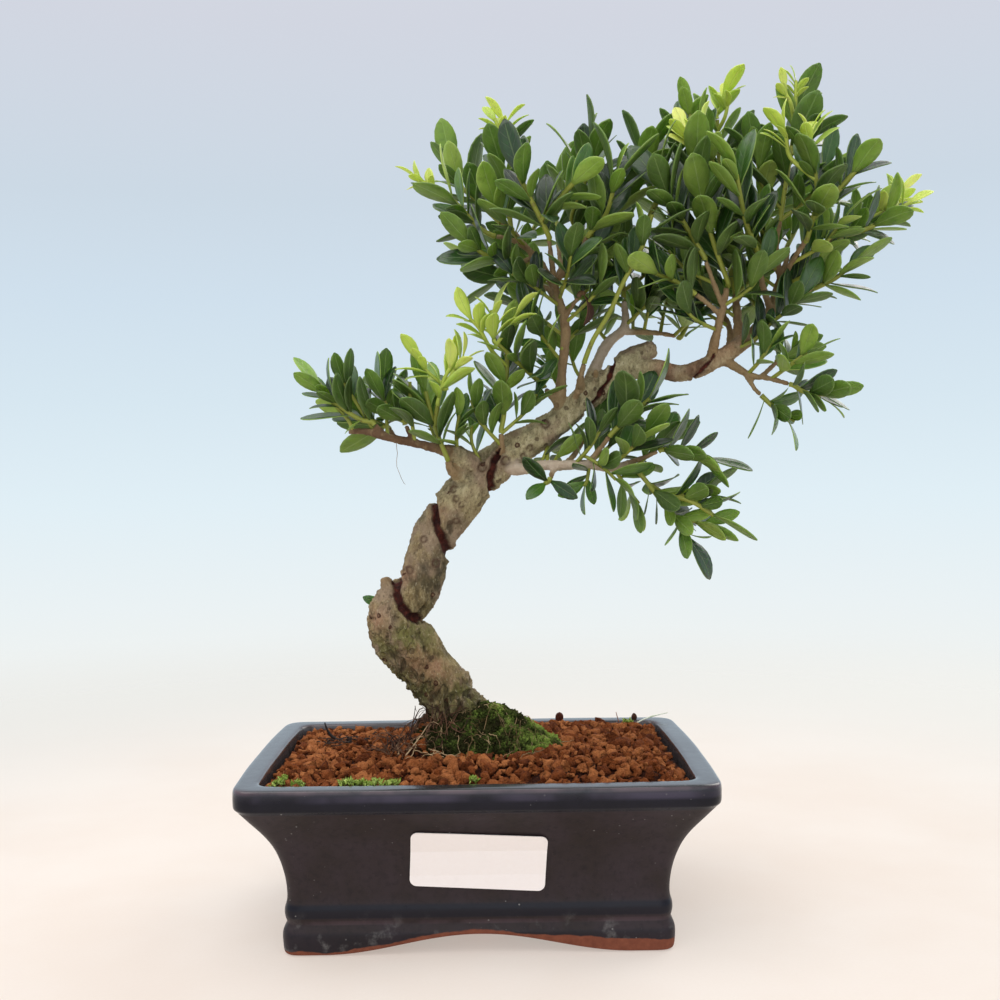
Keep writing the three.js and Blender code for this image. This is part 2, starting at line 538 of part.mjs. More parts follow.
function bladeSamples(leaf) {
  const side = cross(leaf.direction, leaf.face);
  const samples = [];
  for (let row = 2; row <= 10; row += 1) {
    for (let column = -2; column <= 2; column += 1) {
      const halfWidth = bladeHalfWidth(leaf, row / 10);
      samples.push(add(bladeCentre(leaf, row / 10), side, (halfWidth * column) / 2));
    }
  }
  return samples;
}

// Leaves spiral round the stem, lean out and up, and turn on when their place is taken
function placeLeaves(path, spec, owner) {
  const leaves = [];
  const phase = leafRandom() * Math.PI * 2;
  const bare = spec.bare ?? 0.06;
  for (let i = 0; i < spec.leaves; i += 1) {
    const share = i === spec.leaves - 1 ? 1 : bare + ((1 - bare) * (i + 0.5)) / spec.leaves;
    const { point, direction } = along(path, share);
    const reference = Math.abs(direction[2]) < 0.9 ? [0, 0, 1] : [1, 0, 0];
    const a = unit(cross(direction, reference));
    const b = cross(direction, a);
    const grown = 0.84 + 0.3 * leafRandom();
    const lean = (share === 1 ? 0.3 : 1.05 - 0.45 * share) + (leafRandom() - 0.5) * 0.3;
    const roll = (leafRandom() - 0.5) * 0.8;
    for (let attempt = 0; attempt < leafTries; attempt += 1) {
      const angle = phase + i * leafTurn + attempt * 0.83;
      const out = add(add([0, 0, 0], a, Math.cos(angle)), b, Math.sin(angle));
      const tilt = lean * (1 + 0.12 * (attempt % 3));
      let way = add(add([0, 0, 0.22], direction, Math.cos(tilt)), out, Math.sin(tilt));
      way = unit(spec.drop ?? way);
      let face = add(direction, [0, 0, 0.5]);
      face = add(face, way, -dot(face, way));
      if (dot(face, face) < 0.02) face = add(out, way, -dot(out, way));
      face = unit(face);
      face = unit(add(add([0, 0, 0], face, Math.cos(roll)), cross(way, face), Math.sin(roll)));
      const base = add(add(point, direction, share === 1 ? -rootSink * 3 : 0), way, -rootSink);
      const leaf = { base, direction: way, face, length: spec.size * grown * (1 - 0.05 * attempt) };
      const samples = bladeSamples(leaf);
      if (samples.some((sample) => isBlocked(sample, owner) || nearWood(sample))) continue;
      samples.slice(10).forEach((sample) => take(sample, `${owner} leaf`));
      leaves.push(leaf);
      break;
    }
  }
  return leaves;
}

// Thin three-sided blade, flat below and ridged along the midrib, wedge-shaped down to its root in the stem
function leafSolid(leaf) {
  const side = cross(leaf.direction, leaf.face);
  const rings = leafOutline.slice(1).reverse().map(([t]) => {
    const centre = bladeCentre(leaf, t);
    const halfWidth = bladeHalfWidth(leaf, t);
    return [add(centre, side, halfWidth), add(centre, leaf.face, leafThickness), add(centre, side, -halfWidth)];
  });
  return solidOf(closedLoft(rings, leaf.base, bladeCentre(leaf, 1)));
}

// Path of a shoot: a straight start off the end that carries it, then its own points
function shootPath({ from, path }) {
  const { point, direction } = ends[from];
  return [add(point, direction, gap + 0.05), add(point, direction, 1.8), ...path];
}

const stemOf = (path) => tube(path.map((p, i) => [...p, stemRadius * (1 - (0.3 * i) / path.length)]), stemSides);

const material = (color, roughness, metalness = 0) => new THREE.MeshStandardMaterial({ color, roughness, metalness });
const bonsai = new THREE.Group();
function addMesh(name, geometry, look) {
  const mesh = new THREE.Mesh(geometry, look);
  mesh.name = name;
  bonsai.add(mesh);
}

// Bowl and its fittings
addMesh("pot", geometryOf(makeBowl()), material(0x2b2a31, 0.35));
addMesh("label", geometryOf(makeLabel()), material(0xf4f1ec, 0.6));
addMesh("drain_screen_left", geometryOf(makeScreen(-1)), material(0x20221f, 0.6));
addMesh("drain_screen_right", geometryOf(makeScreen(1)), material(0x20221f, 0.6));

// Soil fills the bowl up to its relief, less the roots and the screens
const woodWithGap = makeTrunk(gap + 0.1);
const ground = solidOf(reliefBlock(bowlLength, bowlDepth, soilCell, floorTop + gap,
  (x, y) => soilHeight(x, y) + (soilRandom() * 2 - 1) * soilGrain));
let soil = ground.intersect(bowlSkin(innerWall, -gap - 0.1)).subtract(woodWithGap);
for (const side of [-1, 1]) {
  const pocketSide = screenSide + 2 * gap;
  const pocketHeight = screenThickness + 4 * gap;
  soil = soil.subtract(boxSolid([pocketSide, pocketSide, pocketHeight],
    [side * drainHoleX, 0, floorTop + gap + screenThickness / 2]));
}
addMesh("soil", geometryOf(soil), material(0x8a4524, 0.95));

// Moss lies on the soil and round the foot of the trunk
const mossBlock = reliefBlock(mossMound.lengthX * 2, mossMound.lengthY * 2, mossCell, soilLevel - 4, (x, y) => {
  const share = 1 - (x / mossMound.lengthX) ** 2 - (y / mossMound.lengthY) ** 2;
  const foot = soilHeight(x + mossMound.x, y + mossMound.y) - 1.5;
  return share <= 0 ? foot : foot + (mossMound.top - foot) * share ** 0.75 * (0.9 + 0.1 * mossRandom());
});
mossBlock.translate(mossMound.x, mossMound.y, 0);
const moss = solidOf(mossBlock).subtract(ground.translate(0, 0, gap + 0.05)).subtract(woodWithGap);
const mossBodies = moss.decompose().sort((a, b) => b.volume() - a.volume());
addMesh("moss", geometryOf(mossBodies[0]), material(0x4f7a2a, 0.95));

// The wood is one piece
addMesh("trunk", geometryOf(makeTrunk(0)), material(barkColour, 0.85));

// Every stem is laid out first, then the leaves fill in between
noteWood(smoothTrunk());
for (const [name, path] of Object.entries(limbs)) {
  noteEnd(name, path);
  noteWood(path);
}
const growth = { ...shoots, ...youngTips, dead_leaf: deadLeaf };
const stems = {};
for (const [name, spec] of Object.entries(growth)) {
  stems[name] = [[shootPath(spec), spec]];
  noteEnd(name, stems[name][0][0]);
  if (spec.side) {
    stems[name].push([[spec.side.start, ...spec.side.path], { ...spec.side, size: spec.size }]);
    noteEnd(`${name}Side`, stems[name][1][0]);
  }
  for (const [path] of stems[name]) {
    for (let step = 0; step <= 24; step += 1) take(along(path, step / 24).point, name);
  }
}
for (const name of Object.keys(growth)) {
  const solids = [];
  for (const [path, spec] of stems[name]) {
    solids.push(stemOf(path), ...placeLeaves(path, spec, name).map(leafSolid));
  }
  const look = name === "dead_leaf" ? material(0x5a2f1c, 0.8)
    : name in youngTips ? material(limeColour, 0.5) : material(leafColour, 0.45);
  addMesh(name, geometryOf(fuse(solids)), look);
}

// Stand the whole on the ground, with its origin under the middle of its box
const box = new THREE.Box3().setFromObject(bonsai);
bonsai.position.set(-(box.min.x + box.max.x) / 2, -(box.min.y + box.max.y) / 2, -box.min.z);
bonsai.updateMatrixWorld(true);

export default bonsai;
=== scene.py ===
# Japanese holly bonsai in a glazed bowl: the looks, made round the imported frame. Lengths in the
# tables are millimetres from the middle of the bowl's base, x to the right, y away, z up.
import math

import bmesh
import bpy
import numpy as np
from mathutils import Matrix, Vector, noise
from mathutils.bvhtree import BVHTree


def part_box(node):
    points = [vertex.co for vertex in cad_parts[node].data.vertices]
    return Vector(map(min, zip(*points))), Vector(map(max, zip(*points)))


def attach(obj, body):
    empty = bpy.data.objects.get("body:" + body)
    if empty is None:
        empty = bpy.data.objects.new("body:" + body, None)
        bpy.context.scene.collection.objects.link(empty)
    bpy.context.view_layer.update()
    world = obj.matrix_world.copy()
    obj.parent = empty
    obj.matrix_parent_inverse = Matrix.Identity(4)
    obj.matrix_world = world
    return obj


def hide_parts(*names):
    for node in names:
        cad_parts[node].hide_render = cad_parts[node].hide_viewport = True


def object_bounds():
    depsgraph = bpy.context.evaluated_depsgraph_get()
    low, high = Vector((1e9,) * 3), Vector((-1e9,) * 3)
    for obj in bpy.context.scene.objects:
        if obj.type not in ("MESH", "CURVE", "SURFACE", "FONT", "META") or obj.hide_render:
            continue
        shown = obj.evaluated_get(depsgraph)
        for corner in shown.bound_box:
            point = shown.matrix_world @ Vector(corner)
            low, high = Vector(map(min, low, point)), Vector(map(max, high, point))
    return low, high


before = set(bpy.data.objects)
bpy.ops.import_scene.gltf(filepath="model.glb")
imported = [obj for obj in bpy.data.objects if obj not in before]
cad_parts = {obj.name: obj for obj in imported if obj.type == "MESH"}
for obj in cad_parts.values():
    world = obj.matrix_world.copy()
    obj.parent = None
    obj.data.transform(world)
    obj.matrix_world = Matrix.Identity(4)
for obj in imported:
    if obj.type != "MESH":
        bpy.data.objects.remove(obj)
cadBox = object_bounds()
mm = 0.001
potLow, potHigh = (Vector(corner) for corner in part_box("pot"))
bowlCentre = Vector(((potLow.x + potHigh.x) / 2, (potLow.y + potHigh.y) / 2, potLow.z))
print("frame loaded,", len(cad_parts), "nodes")


def toWorld(x, y, z):
    return bowlCentre + Vector((x, y, z)) * mm


def worldPoints(points):
    return np.asarray(points, dtype=float) * mm + np.array(bowlCentre)


# Rows of numbers: commas part the stations of a path, semicolons part paths
def readPath(text):
    return [[float(part) for part in station.split()] for station in text.split(",")]


def readPaths(text):
    return [readPath(path) for path in text.split(";")]


def deselectAll():
    if bpy.context.object and bpy.context.object.mode != "OBJECT":
        bpy.ops.object.mode_set(mode="OBJECT")
    bpy.ops.object.select_all(action="DESELECT")


def pickUp(*pieces):
    deselectAll()
    for piece in pieces:
        piece.select_set(True)
    bpy.context.view_layer.objects.active = pieces[0]
    return pieces[0]


def newPiece(name, data):
    piece = bpy.data.objects.new(name, data)
    bpy.context.scene.collection.objects.link(piece)
    return piece


def removePieces(pieces):
    for piece in pieces:
        bpy.data.objects.remove(piece)


def applyModifier(piece, kind, **settings):
    pickUp(piece)
    modifier = piece.modifiers.new(kind.lower(), kind)
    for name, value in settings.items():
        setattr(modifier, name, value)
    bpy.ops.object.modifier_apply(modifier=modifier.name)


def bakePlace(piece):
    pickUp(piece)
    bpy.ops.object.transform_apply(location=True, rotation=True, scale=True)
    return piece


def smoothShade(piece, angle=None):
    pickUp(piece)
    if angle is None:
        bpy.ops.object.shade_smooth()
    else:
        bpy.ops.object.shade_smooth_by_angle(angle=math.radians(angle))


# In edit mode: selects everything, or the points or faces whose place passes a test
def pickAll():
    bpy.ops.mesh.select_all(action="SELECT")


def pickPoints(piece, test, faces=False):
    shape = bmesh.from_edit_mesh(piece.data)
    bpy.ops.mesh.select_all(action="DESELECT")
    for part in shape.faces if faces else shape.verts:
        part.select_set(test(part.calc_center_median() if faces else part.co))
    shape.select_flush(True)
    bmesh.update_edit_mesh(piece.data)


def editMode(piece):
    pickUp(piece)
    bpy.ops.object.mode_set(mode="EDIT")


def objectMode():
    bpy.ops.object.mode_set(mode="OBJECT")


def valuesOf(items, key, kind=float, each=1):
    values = np.empty(len(items) * each, dtype=kind)
    items.foreach_get(key, values)
    return values


def pointsOf(piece):
    return valuesOf(piece.data.vertices, "co", each=3).reshape(-1, 3)


def setPoints(piece, points):
    piece.data.vertices.foreach_set("co", np.asarray(points, dtype=float).ravel())
    piece.data.update()


def addValues(piece, name, values):
    layer = piece.data.attributes.get(name) or piece.data.attributes.new(name, "FLOAT", "POINT")
    layer.data.foreach_set("value", np.zeros(len(layer.data)) + values)


def joinPieces(pieces):
    pickUp(*pieces)
    bpy.ops.object.join()
    return bpy.context.object


def handOver(piece, name, materials=(), replaced=()):
    piece.name = name
    piece.data.name = name
    for material in materials:
        piece.data.materials.append(material)
    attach(piece, "root")
    if replaced:
        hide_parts(*replaced)
    return piece


# Round tubes along [x, y, z, radius] paths, as one curve made into a mesh
def tubesAlong(paths, resolution=2):
    curve = bpy.data.curves.new("tubes", "CURVE")
    curve.dimensions = "3D"
    curve.bevel_depth = 1.0
    curve.bevel_resolution = resolution
    curve.use_fill_caps = True
    for path in paths:
        spline = curve.splines.new("POLY")
        spline.points.add(len(path) - 1)
        for point, (x, y, z, radius) in zip(spline.points, path):
            point.co = (*toWorld(x, y, z), 1.0)
            point.radius = radius * mm
    pickUp(newPiece("tubes", curve))
    bpy.ops.object.convert(target="MESH")
    smoothShade(bpy.context.object)
    return bpy.context.object


# Copies of small modelled shapes, each turned, sized and set down by its own matrix, with a tone of its own
def scatterCopies(name, shapes, places):
    points, faces, tones, uvs, slots = [], [], [], [], []
    parts = []
    for shape in shapes:
        mesh = shape.data
        uv = np.zeros(len(mesh.loops) * 2)
        if mesh.uv_layers:
            uv = valuesOf(mesh.uv_layers[0].uv, "vector", each=2)
        parts.append((pointsOf(shape), valuesOf(mesh.loops, "vertex_index", np.int64),
                      valuesOf(mesh.polygons, "loop_total", np.int64),
                      valuesOf(mesh.polygons, "material_index", np.int32), uv))
    start = 0
    for which, matrix, tone in places:
        co, loops, counts, material, uv = parts[which]
        points.append(co @ matrix[:, :3].T + matrix[:, 3])
        faces.append((loops + start, counts))
        slots.append(material)
        uvs.append(uv)
        tones.append(np.full(len(co), tone))
        start += len(co)
    mesh = bpy.data.meshes.new(name)
    corners = np.concatenate([face[0] for face in faces])
    counts = np.concatenate([face[1] for face in faces])
    mesh.vertices.add(start)
    mesh.vertices.foreach_set("co", np.concatenate(points).ravel())
    mesh.loops.add(len(corners))
    mesh.loops.foreach_set("vertex_index", corners.astype(np.int32))
    mesh.polygons.add(len(counts))
    mesh.polygons.foreach_set("loop_start", np.concatenate([[0], np.cumsum(counts)[:-1]]).astype(np.int32))
    mesh.polygons.foreach_set("material_index", np.concatenate(slots))
    mesh.polygons.foreach_set("use_smooth", np.ones(len(counts), dtype=bool))
    layer = mesh.uv_layers.new(name="UVMap")
    layer.uv.foreach_set("vector", np.concatenate(uvs))
    mesh.update(calc_edges=True)
    mesh.validate()
    piece = newPiece(name, mesh)
    addValues(piece, "tone", np.concatenate(tones))
    return piece


# Seeded numbers from 0 to 1, the same on every run
def makeRandom(start):
    state = start

    def draw():
        nonlocal state
        state = (state * 16807) % 2147483647
        return state / 2147483647
    return draw


# Camera at the photograph's place and tilt
camera = {"place": (4.2, -418.0, 145.6), "yaw": 0.57, "pitch": -0.69, "roll": -0.65, "lens": 43.88}


def setCamera():
    yaw, pitch, roll = (math.radians(camera[key]) for key in ("yaw", "pitch", "roll"))
    ahead = Vector((math.sin(yaw) * math.cos(pitch), math.cos(yaw) * math.cos(pitch), math.sin(pitch)))
    across = Vector((math.cos(yaw), -math.sin(yaw), 0.0))
    upward = across.cross(ahead)
    rolledAcross = across * math.cos(roll) + upward * math.sin(roll)
    rolledUp = upward * math.cos(roll) - across * math.sin(roll)
    lensData = bpy.data.cameras.new("camera")
    lensData.lens = camera["lens"]
    lensData.sensor_width = 36.0
    lensData.clip_start = 0.02
    lensData.clip_end = 50.0
    seat = newPiece("camera", lensData)
    turn = Matrix((rolledAcross, rolledUp, -ahead)).transposed()
    seat.matrix_world = Matrix.Translation(toWorld(*camera["place"])) @ turn.to_4x4()
    bpy.context.scene.camera = seat


setCamera()

# Soft studio light: wide lamps above on the left, behind on the right and in front
lamps = {
    "above": {"place": (-260, -200, 950), "aim": (20, 0, 150), "size": 1.2, "power": 5.6,
              "colour": (1.0, 0.985, 0.96)},
    "behind": {"place": (560, 520, 640), "aim": (40, 0, 190), "size": 0.7, "power": 2.8,
               "colour": (1.0, 0.97, 0.9)},
    "front": {"place": (120, -900, 420), "aim": (20, 0, 130), "size": 0.9, "power": 1.5,
              "colour": (0.97, 0.98, 1.0)},
}


def setLamps():
    for name in ("above", "behind", "front"):
        settings = lamps[name]
        light = bpy.data.lights.new(name, "AREA")
        light.shape = "DISK"
        light.size = settings["size"]
        light.energy = settings["power"]
        light.color = settings["colour"]
        lamp = newPiece(name, light)
        lamp.location = toWorld(*settings["place"])
        lamp.rotation_euler = (toWorld(*settings["aim"]) - lamp.location).to_track_quat("-Z", "Y").to_euler()


setLamps()
bpy.context.scene.view_settings.view_transform = "Standard"
print("camera and lamps set")


# Colours are written as they look on a screen
def tint(code):
    parts = [int(code[i:i + 2], 16) / 255 for i in (0, 2, 4)]
    return (*[part / 12.92 if part <= 0.04045 else ((part + 0.055) / 1.055) ** 2.4 for part in parts], 1.0)


# The nodes of one material or group; where a node takes a colour, its code will do
class nodeSet:
    def __init__(self, tree):
        self.tree = tree

    def link(self, value, socket):
        self.tree.links.new(value, socket)

    def node(self, kind, inputs=None, **settings):
        node = self.tree.nodes.new("ShaderNode" + kind)
        for name, value in settings.items():
            setattr(node, name, value)
        for key, value in (inputs or {}).items():
            if isinstance(value, bpy.types.NodeSocket):
                self.link(value, node.inputs[key])
            else:
                node.inputs[key].default_value = tint(value) if isinstance(value, str) else value
        return node

    def math(self, operation, first, second=0.0):
        return self.node("Math", {0: first, 1: second}, operation=operation).outputs[0]

    def times(self, first, second):
        return self.math("MULTIPLY", first, second)

    def plus(self, first, second):
        return self.math("ADD", first, second)

    def minus(self, first, second):
        return self.math("SUBTRACT", first, second)

    def larger(self, first, second):
        return self.math("MAXIMUM", first, second)

    # How far one value lies from another, on either side
    def gap(self, first, second):
        return self.math("ABSOLUTE", self.minus(first, second))

    def distance(self, first, second):
        return self.node("VectorMath", {0: first, 1: second}, operation="DISTANCE").outputs["Value"]

    def parts(self, vector):
        return self.node("SeparateXYZ", {0: vector}).outputs

    # Eases from one level to another while the value goes from low to high
    def ease(self, value, low, high, toLow=0.0, toHigh=1.0):
        inputs = {0: value, 1: low, 2: high, 3: toLow, 4: toHigh}
        return self.node("MapRange", inputs, interpolation_type="SMOOTHSTEP").outputs[0]

    def band(self, value, start, full, fullEnd, end):
        return self.times(self.ease(value, start, full), self.ease(value, end, fullEnd))

    def blend(self, share, first, second):
        return self.node("Mix", {0: share, 2: first, 3: second}).outputs[0]

    def mix(self, share, first, second):
        return self.node("Mix", {0: share, 6: first, 7: second}, data_type="RGBA").outputs[2]

    # A coat over a colour, as far as its mask and share let it show
    def over(self, colour, coat, mask, share):
        return self.mix(self.times(mask, share), colour, coat)

    def noise(self, place, scale, detail=4.0, roughness=0.55):
        inputs = {"Vector": place, "Scale": scale, "Detail": detail, "Roughness": roughness}
        return self.node("TexNoise", inputs).outputs["Fac"]

    def uneven(self, place, scale, low, high):
        return self.ease(self.noise(place, scale), 0.3, 0.7, low, high)

    def stored(self, name):
        return self.node("Attribute", attribute_name=name).outputs["Fac"]

    def ramp(self, value, *stops):
        node = self.node("ValToRGB", {0: value})
        while len(node.color_ramp.elements) < len(stops):
            node.color_ramp.elements.new(0.5)
        for element, (position, code) in zip(node.color_ramp.elements, stops):
            element.position = position
            element.color = tint(code)
        return node.outputs["Color"]

    def group(self, tree, **inputs):
        return self.node("Group", inputs, node_tree=tree).outputs

    def patch(self, place, scale, low, high, detail=4.0):
        return self.group(patches, place=place, scale=scale, low=low, high=high, detail=detail)["mask"]

    def speck(self, place, scale, size):
        return self.group(specks, place=place, scale=scale, size=size)["mask"]

    # Joins the results to the material's shader
    def finish(self, colour, roughness=None, height=None, depth=0.3, strength=1.0):
        sockets = self.shader.inputs
        self.link(colour, sockets["Base Color"])
        if roughness is not None:
            self.link(roughness, sockets["Roughness"])
        if height is not None:
            bump = self.node("Bump", {"Strength": strength, "Distance": depth * mm, "Height": height})
            self.link(bump.outputs["Normal"], sockets["Normal"])
        return self.material


shaderSockets = {
    "roughness": "Roughness", "specular": "Specular IOR Level", "coat": "Coat Weight",
    "coatRoughness": "Coat Roughness", "soft": "Subsurface Weight", "softReach": "Subsurface Radius",
    "softScale": "Subsurface Scale", "glow": "Emission Strength",
}


# A material with its principled shader, and the place of each point in its piece
def startMaterial(name, **fixed):
    material = bpy.data.materials.new(name)
    material.use_nodes = True
    add = nodeSet(material.node_tree)
    add.material, add.shader = material, material.node_tree.nodes["Principled BSDF"]
    for key, value in fixed.items():
        add.shader.inputs[shaderSockets[key]].default_value = value
    return add, add.node("TexCoord").outputs["Object"]


# A group of nodes that gives masks; an input without a number is a place
def startGroup(name, outputs, **inputs):
    tree = bpy.data.node_groups.new(name, "ShaderNodeTree")
    for socketName, value in inputs.items():
        kind = "NodeSocketVector" if value is None else "NodeSocketFloat"
        socket = tree.interface.new_socket(socketName, in_out="INPUT", socket_type=kind)
        if value is not None:
            socket.default_value = value
    for socketName in outputs:
        tree.interface.new_socket(socketName, in_out="OUTPUT", socket_type="NodeSocketFloat")
    return nodeSet(tree), tree.nodes.new("NodeGroupInput").outputs, tree.nodes.new("NodeGroupOutput").inputs


# Soft-edged cloudy patches
def makePatches():
    add, given, result = startGroup("patches", ["mask"], place=None, scale=100.0, detail=4.0,
                                    low=0.4, high=0.6)
    cloud = add.noise(given["place"], given["scale"], given["detail"])
    add.link(add.ease(cloud, given["low"], given["high"]), result["mask"])
    return add.tree


# Small separate specks of uneven size
def makeSpecks():
    add, given, result = startGroup("specks", ["mask"], place=None, scale=200.0, size=0.2)
    cells = add.node("TexVoronoi", {"Vector": given["place"], "Scale": given["scale"]}).outputs
    picked = add.node("SeparateColor", {0: cells["Color"]}).outputs[0]
    reach = add.times(given["size"], add.ease(picked, 0.45, 1.0))
    add.link(add.ease(add.minus(reach, cells["Distance"]), 0.0, 0.05), result["mask"])
    return add.tree


# Midrib and side veins over a blade's own map, across and along
def makeVeins():
    add, given, result = startGroup("veins", ["midrib", "side", "rim"], map=None, pairs=7.0, slant=1.3)
    across, along, _ = add.parts(given["map"])
    away = add.times(add.gap(across, 0.5), 2.0)
    step = add.minus(add.times(along, given["pairs"]), add.times(away, given["slant"]))
    wave = add.gap(add.math("FRACT", step), 0.5)
    add.link(add.ease(away, 0.09, 0.02), result["midrib"])
    add.link(add.times(add.ease(wave, 0.1, 0.0), add.ease(away, 0.95, 0.6)), result["side"])
    add.link(add.ease(away, 0.86, 1.0), result["rim"])
    return add.tree


patches, specks, veins = makePatches(), makeSpecks(), makeVeins()

# Pale sky: warm below, near white at the level of the floor, blue grey above
skyStops = [(0.0, "f3e6da"), (0.31, "fbf3eb"), (0.375, "f8f3ed"), (0.413, "f3f3ee"), (0.453, "ebf2f4"),
            (0.494, "e1eff6"), (0.535, "d7e7f1"), (0.575, "d0e0ed"), (0.614, "ccd9e5"), (0.678, "d2d6e1"),
            (0.8, "dfe2e8"), (1.0, "fafbfd")]


def setSky():
    world = bpy.data.worlds.new("sky")
    world.use_nodes = True
    add = nodeSet(world.node_tree)
    level = add.parts(add.node("TexCoord").outputs["Generated"])[2]
    share = add.node("MapRange", {0: level, 1: -1.0, 2: 1.0}).outputs[0]
    add.link(add.ramp(share, *skyStops), add.tree.nodes["Background"].inputs["Color"])
    bpy.context.scene.world = world


setSky()


# The bowl: insets of the wall at each height, as in the frame
bowl = {
    "length": 150.0, "depth": 110.0, "corner": 4.2, "bulge": (1.5, 0.9), "bulgeFrom": 43,
    "outerWall": readPath("0 14.4, 0.7 13.7, 3 13.5, 7 13.2, 8.6 14.2, 9.8 14.9, 11.2 14.1, 14.4 13.9, "
                          "16 14.9, 20 14.8, 25 14.2, 33 12, 39.5 8, 45 3.5, 47.6 1.2, 48.3 0.5, "
                          "48.8 0.05, 51 0, 53.9 0, 54.7 0.35, 55 1"),
    "innerWall": readPath("55 3.5, 55 6.4, 54.7 7.2, 53.8 7.6, 50 8.2, 45 9.6, 39.5 13.5, 33 17.5, "
                          "25 19.5, 14 20.4, 13 21.5"),
    "footWidth": 5.5, "footTop": 7.4, "recess": 7.5, "recessTaper": (0.96, 0.95, 1),
    "cuts": (16, 12), "seed": 5, "waver": 0.35, "frontArch": (48.0, 6.3), "sideArch": (24.0, 4.6),
    "holes": 30.0, "holeRadius": 6.0,
}


def archHeight(way, arch):
    halfWidth, height = arch
    return height * (0.5 + 0.5 * math.cos(math.pi * way / halfWidth)) if abs(way) < halfWidth else 0.0


def modelBowl():
    deselectAll()
    startLength, startDepth = (bowl[side] - 2 * bowl["outerWall"][0][1] for side in ("length", "depth"))
    cutsX, cutsY = bowl["cuts"]
    bpy.ops.mesh.primitive_grid_add(x_subdivisions=cutsX, y_subdivisions=cutsY, size=1, location=bowlCentre)
    piece = bpy.context.object
    piece.scale = (startLength * mm, startDepth * mm, 1)
    bakePlace(piece)
    editMode(piece)
    reach = Vector((startLength, startDepth)) * mm / 2
    pickPoints(piece, lambda co: all(abs(co[i] - bowlCentre[i]) > reach[i] * 0.99 for i in (0, 1)))
    bpy.ops.mesh.bevel(offset=bowl["corner"] * mm, segments=3, affect="VERTICES")
    pickAll()
    profile = bowl["outerWall"] + bowl["innerWall"]
    for (fromZ, fromInset), (toZ, toInset) in zip(profile[:-1], profile[1:]):
        sizes = [(bowl[side] - 2 * toInset) / (bowl[side] - 2 * fromInset) for side in ("length", "depth")]
        bpy.ops.mesh.extrude_region_move(TRANSFORM_OT_translate={"value": (0, 0, (toZ - fromZ) * mm)})
        bpy.ops.transform.resize(value=(*sizes, 1), center_override=toWorld(0, 0, toZ))
    pickPoints(piece, lambda centre: centre.z < bowlCentre.z + 0.1 * mm, faces=True)
    bpy.ops.mesh.inset(thickness=bowl["footWidth"] * mm)
    bpy.ops.mesh.extrude_region_move(TRANSFORM_OT_translate={"value": (0, 0, bowl["recess"] * mm)})
    bpy.ops.transform.resize(value=bowl["recessTaper"], center_override=toWorld(0, 0, bowl["recess"]))
    pickAll()
    bpy.ops.mesh.remove_doubles(threshold=0.00001)
    bpy.ops.mesh.normals_make_consistent(inside=False)
    objectMode()
    applyModifier(piece, "SUBSURF", levels=2, render_levels=2)
    shapeFeet(piece)
    for side in (-1, 1):
        drillHole(piece, toWorld(side * bowl["holes"], 0, 10))
    local = (pointsOf(piece) - np.array(bowlCentre)) / mm
    rises = [z - archHeight(x, bowl["frontArch"]) - 0.7 * archHeight(y, bowl["sideArch"])
             for x, y, z in local]
    addValues(piece, "rise", np.clip(np.array(rises) / 10, 0, 1))
    smoothShade(piece, 40)
    return piece


# The feet between the arches, and the slight waver of a wall shaped by hand
def shapeFeet(piece):
    points = pointsOf(piece)
    footTop, footInset = bowl["footTop"], bowl["outerWall"][0][1] + bowl["footWidth"] + 2
    halfX, halfY = bowl["length"] / 2, bowl["depth"] / 2
    bulgeX, bulgeY = bowl["bulge"]
    noise.seed_set(bowl["seed"])
    for point in points:
        x, y, z = (point - np.array(bowlCentre)) / mm
        if z < footTop:
            onEnd, onFace = abs(x) > halfX - footInset, abs(y) > halfY - footInset
            lift = max(archHeight(x, bowl["frontArch"]) if onFace else 0,
                       archHeight(y, bowl["sideArch"]) if onEnd else 0)
            z = lift + z * (footTop - lift) / footTop
        share = min(1.0, max(0.0, (z - 2) / 10))
        top = min(1.0, max(0.0, (z - bowl["bulgeFrom"]) / 5))
        x, y = (x * (1 + top * (bulgeX * (0.45 - (y / halfY) ** 2)) / halfX),
                y * (1 + top * (bulgeY * (0.45 - (x / halfX) ** 2)) / halfY))
        swing = noise.noise_vector(Vector((x, y, z)) * 0.03) * bowl["waver"] * share
        ripple = noise.noise_vector(Vector((x, y, z)) * 0.16) * bowl["waver"] * 0.25 * share
        point[:] = toWorld(x + (swing.x + ripple.x) * 0.6, y + (swing.y + ripple.y) * 0.6,
                           z + swing.z * 0.35)
    setPoints(piece, points)


def drillHole(piece, centre):
    deselectAll()
    bpy.ops.mesh.primitive_cylinder_add(vertices=28, radius=bowl["holeRadius"] * mm, depth=0.02,
                                        location=centre)
    drill = bakePlace(bpy.context.object)
    applyModifier(piece, "BOOLEAN", object=drill, operation="DIFFERENCE", solver="EXACT")
    removePieces([drill])


